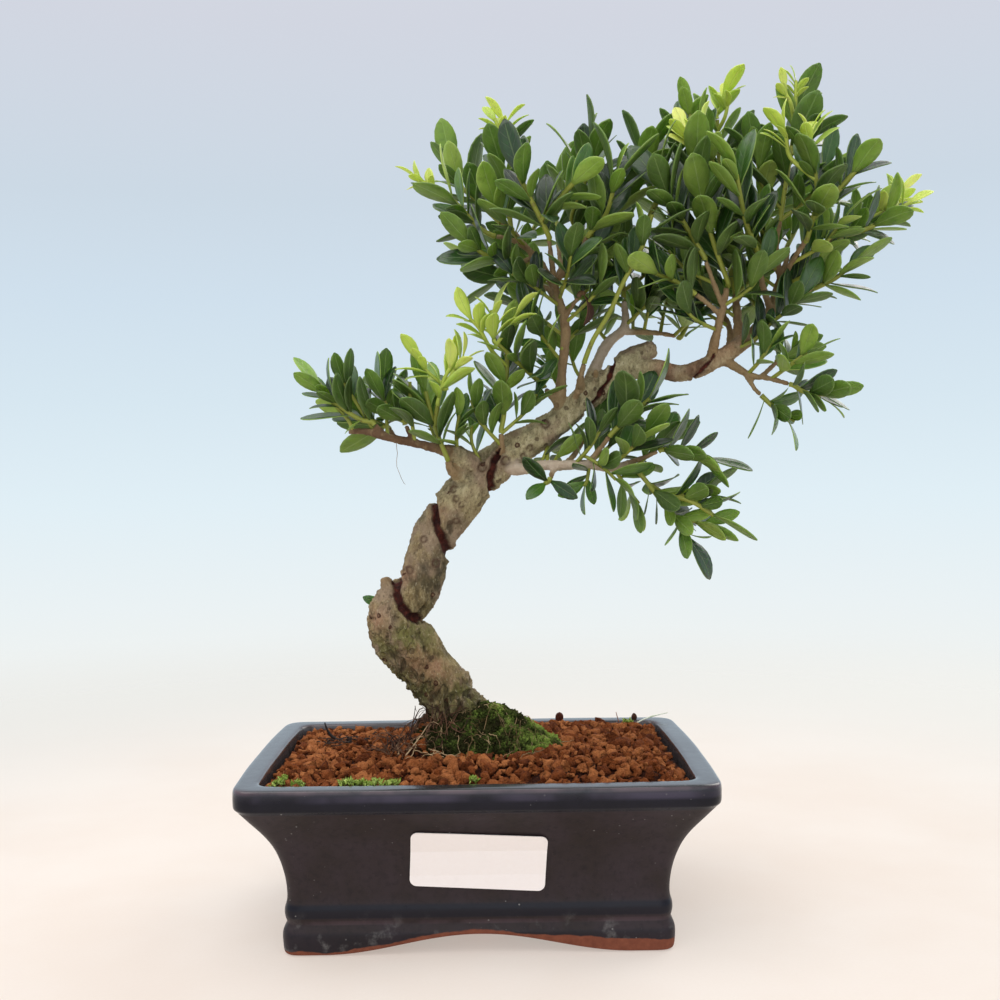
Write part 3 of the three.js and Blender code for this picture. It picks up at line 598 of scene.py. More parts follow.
# Dark glaze, glossy on the lip and half matt on the wall; it breaks brown along the edges, with a painted
# highlight there and a painted highlight band along the lip, and the clay shows at the feet
def makeGlaze():
    add, place = startMaterial("glaze", specular=0.26, coatRoughness=0.16)
    x, y, z = add.parts(place)
    height = add.math("DIVIDE", z, mm)
    wall = add.mix(add.patch(place, 60.0, 0.3, 0.7, 6.0), "271d1b", "31262a")
    wall = add.over(wall, "181216", add.patch(place, 520.0, 0.45, 0.75, 6.0), 0.5)
    upper = add.ease(height, 46.9, 47.9)
    lip = add.mix(add.patch(place, 130.0, 0.35, 0.65, 5.0), "070714", "0f0e1b")
    colour = add.mix(upper, wall, lip)
    foot = add.times(add.ease(height, 8.0, 6.5), 0.6)
    navy = add.larger(add.band(height, 11.2, 12.0, 15.2, 16.4), foot)
    colour = add.over(colour, "090a18", navy, 0.85)
    # The top edge and the ridge turn lighter where the glaze breaks thin, with a painted highlight along them
    edgeBreakAndHighlight = add.times(add.band(height, 53.0, 54.4, 54.7, 55.1), add.patch(place, 55.0, 0.3, 0.62))
    ridge = add.times(add.band(height, 9.2, 9.8, 10.4, 11.2), add.patch(place, 90.0, 0.3, 0.65))
    colour = add.mix(add.larger(add.times(edgeBreakAndHighlight, 0.75), add.times(ridge, 0.35)), colour, "5d4a50")
    # Painted highlight: a soft lighter violet-grey band along the upper lip
    paintedHighlight = add.times(add.band(height, 50.6, 52.0, 52.8, 54.0), add.patch(place, 24.0, 0.4, 0.62))
    colour = add.over(colour, "5c5468", paintedHighlight, 0.4)
    insideTop = add.times(inBox(add, x, y, 68.2, 48.2), add.ease(height, 54.9, 54.0))
    insideTop = add.times(add.ease(height, 48.0, 50.0), insideTop)
    colour = add.mix(insideTop, colour, add.mix(add.noise(place, 300.0), "2c2729", "5a5252"))
    rimTop = add.times(add.ease(height, 54.5, 54.95), add.patch(place, 30.0, 0.0, 0.5, 6.0))
    colour = add.mix(rimTop, colour, add.mix(add.noise(place, 80.0, 6.0), "15171d", "2c3036"))
    dust = add.times(add.speck(place, 520.0, 0.17), add.patch(place, 45.0, 0.45, 0.62))
    lowDust = add.times(add.patch(place, 160.0, 0.55, 0.75, 6.0), add.ease(height, 15.0, 4.0))
    lowDust = add.times(lowDust, add.noise(place, 1400.0, 2.0))
    colour = add.mix(add.larger(add.times(dust, 0.6), add.times(lowDust, 0.75)), colour, "8f8c88")
    corner = add.distance(place, (bowlCentre.x + 0.046, bowlCentre.y - 0.043, 0.0))
    reach = add.ease(corner, 0.034, 0.008, 1.5, 4.4)
    waver = add.times(add.minus(add.noise(place, 120.0, 5.0), 0.5), 2.6)
    rise = add.plus(add.times(add.stored("rise"), 10.0), waver)
    clay = add.ease(add.minus(rise, reach), 0.25, -0.25)
    colour = add.mix(clay, colour, add.mix(add.noise(place, 500.0), "5c2f22", "8d513a"))
    rough = add.blend(navy, add.blend(upper, 0.45, 0.14), 0.26)
    rough = add.plus(rough, add.times(add.noise(place, 260.0), 0.12))
    rough = add.blend(clay, rough, 0.85)
    add.link(add.ease(height, 51.5, 54.6, 0.0, 0.6), add.shader.inputs["Coat Weight"])
    pits = add.minus(add.noise(place, 240.0, 3.0), add.speck(place, 500.0, 0.22))
    return add.finish(colour, rough, pits, 0.2, 0.5)


# One inside a rectangle about the bowl's middle, with half sizes in millimetres
def inBox(add, x, y, halfX, halfY):
    return add.times(add.ease(add.gap(x, bowlCentre.x), (halfX + 0.5) * mm, halfX * mm),
                     add.ease(add.gap(y, bowlCentre.y), (halfY + 0.5) * mm, halfY * mm))


pot = handOver(modelBowl(), "glazed_bowl", [makeGlaze()], ["pot"])
print("bowl made,", len(pot.data.polygons), "faces")


# The frame's own label and drain meshes keep their shape and get their finish
def makePaper():
    add, place = startMaterial("paper", specular=0.35)
    fibre = add.noise(place, 900.0, 6.0, 0.7)
    colour = add.mix(fibre, "f8ede7", "fdf5f1")
    colour = add.mix(add.patch(place, 60.0, 0.6, 0.85), colour, "d2c8c2")
    return add.finish(colour, add.ease(fibre, 0.2, 0.8, 0.42, 0.6), fibre, 0.05, 0.5)


def makeMesh():
    add, place = startMaterial("drain_plastic")
    colour = add.mix(add.noise(place, 400.0), "15171a", "2a2c2b")
    colour = add.mix(add.patch(place, 220.0, 0.5, 0.7), colour, "5a4636")
    return add.finish(colour, add.uneven(place, 300.0, 0.4, 0.7), add.noise(place, 800.0), 0.1)


def dressNode(name, material):
    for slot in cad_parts[name].material_slots:
        slot.material = material


dressNode("label", makePaper())
meshMaterial = makeMesh()
for name in ("drain_screen_left", "drain_screen_right"):
    dressNode(name, meshMaterial)


# The tree as the frame has it: trunk stations, limbs with their radii, and the shoots that carry the leaves.
# A shoot's row starts with its limb, its leaves and their size
def readShoot(text):
    head, path = text.split("; ")
    limb, leaves, size = head.split()
    return {"from": limb, "leaves": int(leaves), "size": float(size), "path": readPath(path)}


trunkLine = readPath(
    "1 6 46 11.5, -1 6 56 11.2, -7 4 67 9.5, -13 3 75 8, -21 1 85 7.9, -28 -1 95 8.7, -29 -2 103 9.2, "
    "-23 -1 110 7.9, -19 0 118 7.5, -16 1 127 7.6, -12 2 135 7.1, -5 2 143 7.1, 4 1 151 6.8, "
    "14 -1 158 5.5, 29 -2 167 4.8, 38 -1 175 4.6, 46 0 181 4.4, 54 2 188 4, 62 4 193 2.7")
limbs = {name: readPath(text) for name, text in {
    "burr": "-26 -3 97 7, -31 -4 103 6.2, -35 -4 107 3",
    "burrStub": "-28 -3 106 5, -30 -4 111 3, -31 -4 115 1.8",
    "burrSpur": "-30 0 101 2.5, -34 5 104 0.9, -35 6 105 0.8",
    "collarKnob": "-12 2 76 6, -6 0 78 4.2, -3 -1 79 3",
    "rootLeft": "-4 4 58 6, -12 -2 54 4, -19 -7 49 2.2, -23 -10 45 1.5",
    "rootRight": "-3 5 60 6, 8 3 58 4.4, 19 1 52 2.8, 25 0 46 1.8",
    "rootBack": "-3 5 59 6, 1 15 56 4.2, 4 24 50 2.6, 6 29 45 1.8",
    "right": "48 1 184 4, 60 -1 185 3.4, 70 -3 183 3.1, 78 -5 185 3.1, 87 -4 190 2.9, 96 -2 197 2.6, "
             "102 0 204 2.2, 105 1 212 1.9, 107 1 219 1.6",
    "forkLeftUp": "106 1 217 1.3, 100 4 225 1.1, 94 6 230 1",
    "forkUp": "106 1 214 1.3, 103 -4 226 1.1, 104 -6 234 1",
    "forkRight": "106 1 217 1.3, 113 3 222 1.1, 121 6 226 1",
    "forkRightLow": "112 3 221 1, 117 -1 226 0.9, 123 -4 228 0.9",
    "forkBack": "106 1 215 1.3, 110 10 224 1.1, 112 17 229 1",
    "forkFront": "105 1 212 1.3, 107 -8 219 1.1, 110 -15 225 1",
    "rightSkirt": "104 1 209 1.3, 111 -3 210 1, 115 -5 211 0.9",
    "backSkirt": "101 0 203 1.3, 101 8 206 1, 100 12 208 0.9",
    "forkInner": "102 0 204 1.3, 97 -9 213 1.1, 94 -17 220 1",
    "middle": "29 -2 167 3, 29 -4 174 2.1, 30 -6 186 1.7, 31 -7 198 1.7, 29 -6 208 1.5, 27 -5 214 1.3",
    "middleLeft": "27 -5 213 1.3, 23 -4 221 1.2, 18 -5 226 1.1, 14 -7 231 1",
    "middleLeftLow": "19 -5 225 1, 13 -8 228 0.9, 8 -9 229 0.9",
    "middleLeftBack": "20 -5 224 1, 14 1 232 0.9, 10 4 236 0.9",
    "middleLeftSkirt": "21 -4 223 1, 16 -9 220 0.9, 13 -12 219 0.9",
    "middleRight": "27 -5 213 1.3, 31 0 221 1.1, 34 3 228 1",
    "middleRightBack": "30 -1 219 1, 30 8 227 0.9, 30 14 233 0.9",
    "middleRightFront": "27 -5 213 1.1, 35 -11 222 0.9, 38 -15 227 0.9",
    "middleBack": "30 -6 205 1.2, 24 8 217 1, 21 17 225 0.9",
    "middleBackSkirt": "26 4 213 1, 20 10 216 0.9, 17 13 217 0.9",
    "middleFront": "28 -5 211 1.2, 26 -16 220 1, 25 -22 225 0.9",
    "upFront": "80 -5 186 2, 82 -8 197 1.5, 84 -9 205 1.3, 85 -10 211 1.1",
    "upFrontLeft": "84 -9 204 1.1, 80 -13 212 0.9, 77 -15 219 0.9",
    "upFrontSkirt": "83 -9 202 1.1, 77 -13 206 0.9, 74 -14 208 0.9",
    "upBack": "90 -4 191 2, 91 2 202 1.6, 91 6 211 1.2",
    "upFarBack": "87 -4 190 1.6, 89 7 200 1.1, 86 17 210 1",
    "pale": "38 -1 175 3.2, 43 5 188 2.2, 47 8 195 2, 53 11 201 1.7, 53 13 210 1.1",
    "paleRight": "51 10 199 1.3, 63 13 199 1, 72 16 198 0.9",
    "greenSpur": "36 -1 174 2.6, 36 -7 182 1.2, 37 -9 186 1",
    "left": "2 0 151 4.6, -6 -6 156 3.1, -12 -9 158 1.8, -20 -10 160 1.6, -29 -11 162 1.4, "
            "-36 -12 164 1.2, -42 -12 164 1",
    "leftOut": "-29 -11 162 1.1, -33 -12 166 0.9",
    "leftIn": "-20 -10 160 1.1, -23 -9 166 0.9",
    "leftBack": "-26 -11 161 1.1, -29 -4 165 0.9",
    "thickSpur": "-3 0 148 4, -8 -8 151 1.6, -9 -10 154 1.2",
    "middleSpur": "8 0 154 4, 9 -7 159 1.4, 9 -8 163 1",
    "leftSpur": "29 -4 172 1.6, 24 -7 178 1",
    "lower": "9 0 154 4, 14 -5 151 2.3, 22 -9 152 1.9, 29 -12 152 1.8, 38 -14 152 1.7, 45 -15 151 1.7, "
             "52 -15 150 1.5",
    "lowerSide": "46 -15 151 1.1, 55 -18 154 0.9, 60 -19 156 0.9",
    "lowerUp": "37 -14 152 1.2, 41 -18 157 1, 44 -20 161 0.9",
    "lowerSpur": "27 -11 152 1.2, 25 -14 148 0.9",
    "lowerBack": "30 -12 152 1.2, 34 -3 156 1, 37 3 160 0.9",
    "rightLow": "84 -4 188 2, 92 -9 182 1.2, 99 -13 180 1, 104 -16 178 0.9",
    "rightLowFork": "91 -8 183 1, 94 -10 177 0.9, 96 -10 175 0.9",
    "rightLowUp": "96 -12 181 1, 102 -7 186 0.9",
    "deadSpur": "31 -7 202 1.1, 35 -11 208 0.8",
    "cutStub": "32 -2 169 2, 35 -9 177 1.1",
    "cutTwig": "42 -1 178 1.6, 41 -8 184 0.8",
}.items()}
shoots = {name: readShoot(text) for name, text in {
    "crownLeftTop": "middleLeft 10 19; 12 -8 243, 10 -9 255, 11 -9 261",
    "crownLeftLow": "middleLeftLow 10 18; 2 -10 232, -5 -13 239, -11 -14 243",
    "crownLeftBack": "middleLeftBack 8 20; 3 6 243, -5 8 251, -7 9 257",
    "crownMiddle": "middleRight 9 21; 37 5 242, 38 7 258",
    "crownMiddleBack": "middleRightBack 8 20; 30 23 242, 29 29 254",
    "crownMiddleFront": "middleRightFront 10 20; 44 -20 234, 47 -25 246",
    "crownBackLeft": "middleBack 7 19; 14 27 236, 8 32 246",
    "crownFrontLeft": "middleFront 9 19; 20 -30 234, 15 -34 243",
    "crownFront": "upFront 12 21; 80 -15 224, 75 -18 240, 74 -18 252",
    "crownFrontTurned": "upFrontLeft 11 20; 70 -18 230, 62 -22 242, 60 -24 250",
    "crownCentre": "upBack 10 21; 89 9 225, 86 11 242, 84 12 256",
    "crownFarBack": "upFarBack 9 20; 80 24 222, 74 30 238, 72 33 248",
    "crownTop": "forkLeftUp 12 19; 90 8 240, 86 6 256, 85 4 271",
    "crownUp": "forkUp 11 19; 106 -8 248, 109 -6 264, 110 -5 273",
    "crownRight": "forkRight 10 17; 132 9 232, 141 11 239, 146 12 243",
    "crownRightLow": "forkRightLow 8 15; 134 -7 231, 142 -9 236",
    "crownBack": "forkBack 8 20; 118 24 240, 122 30 254",
    "crownNear": "forkFront 9 19; 112 -23 238, 109 -28 251",
    "crownInner": "forkInner 9 20; 88 -26 230, 84 -32 243",
    "skirtLeft": "middleLeftSkirt 8 17; 5 -16 221, 0 -18 224",
    "skirtFarLeft": "middleBackSkirt 7 18; 9 18 220, 3 21 224",
    "skirtMiddle": "upFrontSkirt 8 18; 67 -16 212, 60 -20 214",
    "skirtRight": "rightSkirt 8 17; 122 -8 214, 127 -10 218",
    "skirtBack": "backSkirt 7 18; 99 20 212, 98 27 217",
    "centreTall": "pale 11 20; 53 16 224, 51 19 238, 50 20 250",
    "centreBack": "paleRight 7 18; 78 21 206, 80 25 215",
    "centreGreen": "greenSpur 9 19; 40 -12 194, 45 -15 202, 49 -19 211, 55 -23 222, 58 -26 232",
    "leftThick": "thickSpur 9 19; -12 -12 162, -14 -13 168, -16 -14 177",
    "leftMiddle": "middleSpur 10 18; 10 -9 170, 11 -11 184, 11 -12 191",
    "leftUpper": "leftSpur 7 17; 16 -13 185, 8 -17 192",
    "leftOuter": "leftOut 12 17; -38 -13 168, -44 -14 172, -49 -15 176",
    "leftInner": "leftIn 8 17; -28 -8 170, -32 -7 178",
    "leftFar": "leftBack 7 18; -36 3 169, -42 9 174",
    "rightLower": "rightLow 10 15; 109 -18 175, 115 -20 174",
    "rightFork": "rightLowFork 8 14; 101 -11 170, 107 -12 166",
    "rightRaised": "rightLowUp 7 14; 106 -4 188, 110 -2 191",
    "lowerRight": "lower 11 16; 57 -15 146, 63 -14 138, 68 -13 133, 71 -13 127",
    "lowerTurned": "lowerSide 9 17; 68 -20 156, 76 -21 154",
    "lowerDark": "lowerUp 9 20; 50 -22 167, 57 -24 173",
    "lowerSmall": "lowerSpur 3 12; 23 -17 146",
    "lowerFar": "lowerBack 7 19; 42 8 164, 50 12 168",
    "burrLeaf": "burrSpur 1 8; -36 7 107",
}.items()}
youngTips = {name: readShoot(text) for name, text in {
    "youngLeftTop": "crownLeftTop 6 13; 11 -10 267",
    "youngLeft": "crownLeftLow 4 10; -16 -15 246",
    "youngFront": "crownFront 5 12; 76 -18 260",
    "youngTop": "crownTop 7 13; 87 2 279",
    "youngUp": "crownUp 3 10; 111 -5 279",
    "youngNear": "crownNear 6 13; 108 -29 258",
    "youngRight": "crownRight 5 11; 151 13 247",
    "youngRightLow": "crownRightLow 4 10; 147 -10 239",
    "youngCluster": "leftUpper 8 15; 7 -18 198, 6 -18 203",
    "youngSide": "leftThickSide 6 13; -10 -17 180, -6 -19 187",
}.items()}
deadLeaf = {**readShoot("deadSpur 1 13; 37 -13 209"), "drop": (0.15, -0.1, -1)}
# Bare share of a stem's start, and side shoots with their leaves
for name, more in {
    "crownBackLeft": {"side": ("17 23 231, 24 33 243", 4)},
    "crownFrontLeft": {"side": ("22 -27 230, 32 -35 240", 6)},
    "crownBack": {"side": ("115 21 234, 102 32 249", 6)},
    "crownNear": {"side": ("111 -19 231, 124 -30 246", 8)},
    "centreGreen": {"bare": 0.5},
    "leftThick": {"bare": 0.2, "side": ("-13 -13 166, -12 -16 172", 0)},
    "lowerRight": {"bare": 0.2, "side": ("60 -14.5 142, 70 -19 140, 78 -20 135", 6)},
}.items():
    shoots[name].update(more)


# Trunk line through its stations, smoothed as in the frame
def smoothLine(stations, steps):
    line = np.array(stations, dtype=float)
    line = np.vstack([2 * line[0] - line[1], line, 2 * line[-1] - line[-2]])
    smooth = []
    for step in range(steps + 1):
        way = (len(stations) - 1) * step / steps
        part = min(int(way), len(stations) - 2)
        t = way - part
        before, here, after, beyond = line[part:part + 4]
        startSlope, endSlope = 0.5 * (after - here + here - before), 0.5 * (beyond - here)
        smooth.append(here + startSlope * t + (-3 * here + 3 * after - 2 * startSlope - endSlope) * t ** 2
                      + (2 * here - 2 * after + startSlope + endSlope) * t ** 3)
    return np.array(smooth)


def lengthOf(vector):
    return math.sqrt(sum(part * part for part in vector))


def unit(vector):
    return np.asarray(vector, dtype=float) / lengthOf(vector)


# The wood: round tubes along the trunk line and every limb, grown together, then the bark worked over them
trunk = {
    "steps": 110, "cell": 0.52, "lumps": 0.75, "grain": 0.32, "limbSteps": 5, "fluting": 1.15,
    "ringWidth": 0.42, "knotWidth": 0.7, "scarReach": 6, "scarWaver": 0.55, "chunk": 4000,
    "scarHalfWidth": 1.5, "scarDepth": 1.4, "lip": 0.75, "waist": 1.25, "waistWidth": 4.2,
    # Fitted to the photograph: shift to the right and added radius by height, and a swelling low on the right
    "fit": ((86, 92, 104, 112, 147, 156), (0, 1.1, 1.5, 1.4, 1.4, 0), (0, 0.2, 0, 0.5, 1.0, 0.2)),
    "swellings": readPaths("-24 0 100.5 2, -22 0.5 97 5, -20 1 93.5 6.3, -17.5 2 88.5 6.8, "
                           "-13.5 3 82 6.9, -9 4 76 6.8; -17.4 -1 120 6, -17.8 -1 114 6.5, "
                           "-18.6 -1.5 108 5.6, -19.4 -2 103.5 4, -19.4 -2 100.5 2; -7.6 -6.5 153.8 1, "
                           "-6.8 -5.5 152.2 1.8, -5.5 -4.5 150.5 1.2"),
    # Bites of old training wire, as x, z along each: they climb to the left in front and come back behind
    "frontScars": readPaths("-27.4 115.2, -26.9 110, -25.1 105.3, -22.1 101.8, -19.2 100.2; -15.2 141.5, "
                            "-14.6 139, -13.9 135, -12.7 131, -10.2 127, -8.2 121.5; 8.6 158.5, "
                            "6.3 154.2, 5.4 149.1, 5.7 145.4, 7.4 141.8; 47.4 187.4, 45.6 181, "
                            "42.6 175.4, 38.6 170; 81.1 188.6, 78 185, 74.6 181; 97 200.5, 95.4 196.6"),
    "backScars": readPaths("-28.6 115.6, -22 117.4, -14 120, -8 121.6; -36 97, -29 94, -20 92; "
                           "-15.4 141.8, -8 141.4, 0 141.4, 7.6 141.8; 8.4 158.6, 18 163, 30 167, "
                           "38.8 170; 47.2 187.6, 56 186, 66 183, 74.4 181; -12 84, -18 78, -24 74"),
    "knots": readPath("10.8 154 3.2 0.6, -19 131 1.6 0.35, -9 148 1.5 0.3, 24 166 1.3 0.3, "
                      "-13.6 119.6 1.3 0.35, 2.4 151.7 1.3 0.3, -21 90 2.2 0.2, -27 100 1.5 0.2, "
                      "10.4 153.8 1.4 0.35, 16.2 155.5 0.8 0.25, 14.5 153.5 0.7 0.25, "
                      "18.6 158.3 0.9 0.25, -6.5 141.2 0.9 0.25, -4.8 139.2 0.8 0.2, -7.5 144.5 1.2 0.3, "
                      "-17.4 127.6 1 0.25, -6.6 133.8 0.9 0.25, -22.4 117.4 1.1 0.35, -5 156.5 1.5 0.45, "
                      "-9 157.5 1.2 0.4"),
    "algae": readPath("-14 -6 95 8, -24 -8 96 5, -25 -1 82 5, -19 -3 76 5, -31 -5 92 6, -5 -6 76 7, "
                      "3 -2 68 8, -9 8 88 7, -12 10 70 8, -24 6 108 6"),
    "blush": readPath("66 -4 186 6, 77 -5 187 6, 86 -4 192 6, 94 -2 199 6, -13 -7 84 8, -20 -8 87 6, "
                      "-25 -8 116 4, -34 -8 100 5, -13 -7 137 3.5, -20 8 97 6"),
    # Painted shading: darker zones low by the soil, at the middle of the trunk and under the left branch
    "paintedShade": readPath("-11 -6 117 6, -17 -7 115 6, -5 -6 157.5 3, -10 -9 158.5 3, -17 -5 107 4.5, "
                      "-2 -5 70 8, -20 -3 74 5, 2 0 60 9, -14 8 66 8, -27 -6 84 4"),
    "ruddy": readPath("77 -7 185 3, 74 -6 183 2.6, 65.6 -4 182.5 2.3, -16 -9 158 5, -23 -11 160 6, "
                      "-31 -12 162 6, -39 -12 164 7"),
}


def roundLimb(path):
    return np.array(path) if len(path) < 3 else smoothLine(path, (len(path) - 1) * trunk["limbSteps"])


# For each point, the closest station of the wood, with its radius there
def nearestWood(local, paths):
    stations = np.vstack(paths)
    best = np.empty(len(local), dtype=int)
    chunk = trunk["chunk"]
    for start in range(0, len(local), chunk):
        span = local[start:start + chunk, None, :] - stations[None, :, :3]
        best[start:start + chunk] = np.argmin(np.linalg.norm(span, axis=2) - stations[None, :, 3], axis=1)
    return best, stations[best]


def awayFromLine(local, line):
    away = np.full(len(local), 1e3)
    for (fromX, fromZ), (toX, toZ) in zip(line[:-1], line[1:]):
        run = np.array([toX - fromX, toZ - fromZ])
        t = np.clip(((local[:, 0] - fromX) * run[0] + (local[:, 2] - fromZ) * run[1]) / (run @ run), 0, 1)
        away = np.minimum(away, np.hypot(local[:, 0] - fromX - run[0] * t,
                                         local[:, 2] - fromZ - run[1] * t))
    return away


def blobs(local, places):
    value = np.zeros(len(local))
    for x, y, z, radius in places:
        value += np.exp(-((local - (x, y, z)) ** 2).sum(axis=1) / radius ** 2)
    return np.clip(value, 0, 1)


# Angle round the trunk line, 0 in front and growing to the right, and the length along it
def trunkTurn(local, index, line):
    ahead = np.gradient(line[:, :3], axis=0)
    ahead /= np.linalg.norm(ahead, axis=1)[:, None]
    length = np.concatenate([[0], np.cumsum(np.linalg.norm(np.diff(line[:, :3], axis=0), axis=1))])
    ahead = ahead[index]
    front = np.array([0, -1.0, 0]) - ahead * -ahead[:, 1:2]
    front /= np.linalg.norm(front, axis=1)[:, None]
    side = np.cross(ahead, front)
    away = local - line[index, :3]
    return np.arctan2((away * side).sum(axis=1), (away * front).sum(axis=1)), length[index]


def makeTrunk():
    trunkPath = smoothLine(trunkLine, trunk["steps"])
    heights, shifts, growths = trunk["fit"]
    trunkPath[:, 3] += np.interp(trunkPath[:, 2], heights, growths)
    trunkPath[:, 0] += np.interp(trunkPath[:, 2], heights, shifts)
    paths = [trunkPath] + [roundLimb(path) for path in [*trunk["swellings"], *limbs.values()]]
    piece = tubesAlong(paths, 3)
    applyModifier(piece, "REMESH", mode="VOXEL", voxel_size=trunk["cell"] * mm)
    applyModifier(piece, "CORRECTIVE_SMOOTH", factor=0.6, iterations=3, use_only_smooth=True)
    points = pointsOf(piece)
    normals = valuesOf(piece.data.vertices, "normal", each=3).reshape(-1, 3)
    local = (points - np.array(bowlCentre)) / mm
    best, woodAt = nearestWood(local, paths)
    thickness, depth = woodAt[:, 3], local[:, 1] - woodAt[:, 1]
    size = np.clip(thickness / 7, 0.5, 1)
    turn, along = trunkTurn(local, np.minimum(best, len(trunkPath) - 1), trunkPath)
    onTrunk = best < len(trunkPath)
    lift, scar = np.zeros(len(points)), np.zeros(len(points))
    for side, lines in ((-1, trunk["frontScars"]), (1, trunk["backScars"])):
        facing = np.clip(depth * side / np.maximum(thickness, 1) * 2.2 + 0.75, 0, 1) * (thickness > 1.6)
        for line in lines:
            away = awayFromLine(local, line)
            close = np.flatnonzero(away < trunk["scarReach"])
            away[close] += [trunk["scarWaver"] * noise.noise(Vector(local[i]) * 0.35) for i in close]
            away /= size
            cut = np.clip(1 - (away / trunk["scarHalfWidth"]) ** 2, 0, 1) ** 0.6 * facing
            lip = np.exp(-((away - trunk["scarHalfWidth"] * 1.5) / 0.7) ** 2) * facing
            waist = np.exp(-(away / trunk["waistWidth"]) ** 2) * facing
            lift += (-trunk["scarDepth"] * cut + trunk["lip"] * lip - trunk["waist"] * waist) * size
            scar = np.maximum(scar, cut)
    rings = np.zeros(len(points))
    for x, z, radius, height in trunk["knots"]:
        ring = np.hypot(local[:, 0] - x, local[:, 2] - z)
        drawn = np.exp(-((ring - radius) / trunk["ringWidth"]) ** 2)
        rings = np.maximum(rings, drawn * (depth < 0) * (radius < 1.5))
        knot = np.exp(-((ring - radius) / trunk["knotWidth"]) ** 2) - np.exp(-(ring / radius / 0.6) ** 2)
        lift += height * knot * (depth < 0)
    low = np.clip((118 - local[:, 2]) / 30, 0, 1) * onTrunk * (1 - 0.6 * blobs(local, trunk["blush"]))
    collar = np.clip((84 - local[:, 2]) / 8, 0, 1) * (thickness > 3)
    rough = np.empty(len(points))
    for i, (x, y, z) in enumerate(local):
        where = Vector((x, y, z))
        big = noise.noise(where * 0.15) + 0.5 * noise.noise(where * 0.33)
        fluting = noise.noise(Vector((math.cos(turn[i]) * 1.7, math.sin(turn[i]) * 1.7, along[i] * 0.045)))
        creases = 0.5 - abs(noise.noise(Vector((x, y, z * 0.5)) * 0.42)) * 2.2
        fine = noise.noise(where * 1.25) + 0.6 * noise.noise(where * 2.6)
        stout = min(1.0, thickness[i] / 6)
        rough[i] = (big * trunk["lumps"] * stout + fine * trunk["grain"] * (0.45 + 0.55 * stout)
                    + fluting * trunk["fluting"] * stout * onTrunk[i]
                    + creases * (0.6 * low[i] + 1.1 * collar[i] + 0.15))
    setPoints(piece, points + normals * ((lift + rough) * mm)[:, None])
    addValues(piece, "scar", scar)
    addValues(piece, "ring", rings)
    addValues(piece, "thickness", np.clip(thickness / 9, 0, 1))
    addValues(piece, "low", low)
    addValues(piece, "relief", np.clip(rough * 0.6 + 0.5, 0, 1))
    for name in ("algae", "blush", "paintedShade", "ruddy"):
        addValues(piece, name, blobs(local, trunk[name]))
    pale = [*roundLimb(limbs["pale"])[4:, :3], *roundLimb(limbs["lower"])[5:, :3]]
    paleAway = np.min([np.linalg.norm(local - point, axis=1) for point in pale], axis=0)
    addValues(piece, "pale", np.clip((4.2 - paleAway) / 2, 0, 1))
    smoothShade(piece)
    return piece


# Small raised rings, as breathing pores leave in bark
def makePores():
    add, given, result = startGroup("pores", ["ring", "middle"], place=None, scale=100.0,
                                    radius=0.08, share=0.5)
    wobble = add.node("TexNoise", {"Vector": given["place"], "Scale": 900.0}).outputs["Color"]
    shift = add.node("VectorMath", {0: wobble, 1: (0.0009, 0.0009, 0.0009)},
                     operation="MULTIPLY").outputs[0]
    placed = add.node("VectorMath", {0: given["place"], 1: shift}, operation="ADD").outputs[0]
    cells = add.node("TexVoronoi", {"Vector": placed, "Scale": given["scale"]}).outputs
    keep = add.math("LESS_THAN", add.node("SeparateColor", {0: cells["Color"]}).outputs[1], given["share"])
    off = add.math("DIVIDE", add.gap(cells["Distance"], given["radius"]), given["radius"])
    ring = add.ease(off, 0.5, 0.15)
    inside = add.ease(add.math("DIVIDE", cells["Distance"], given["radius"]), 0.9, 0.5)
    add.link(add.times(ring, keep), result["ring"])
    add.link(add.times(inside, keep), result["middle"])
    return add.tree
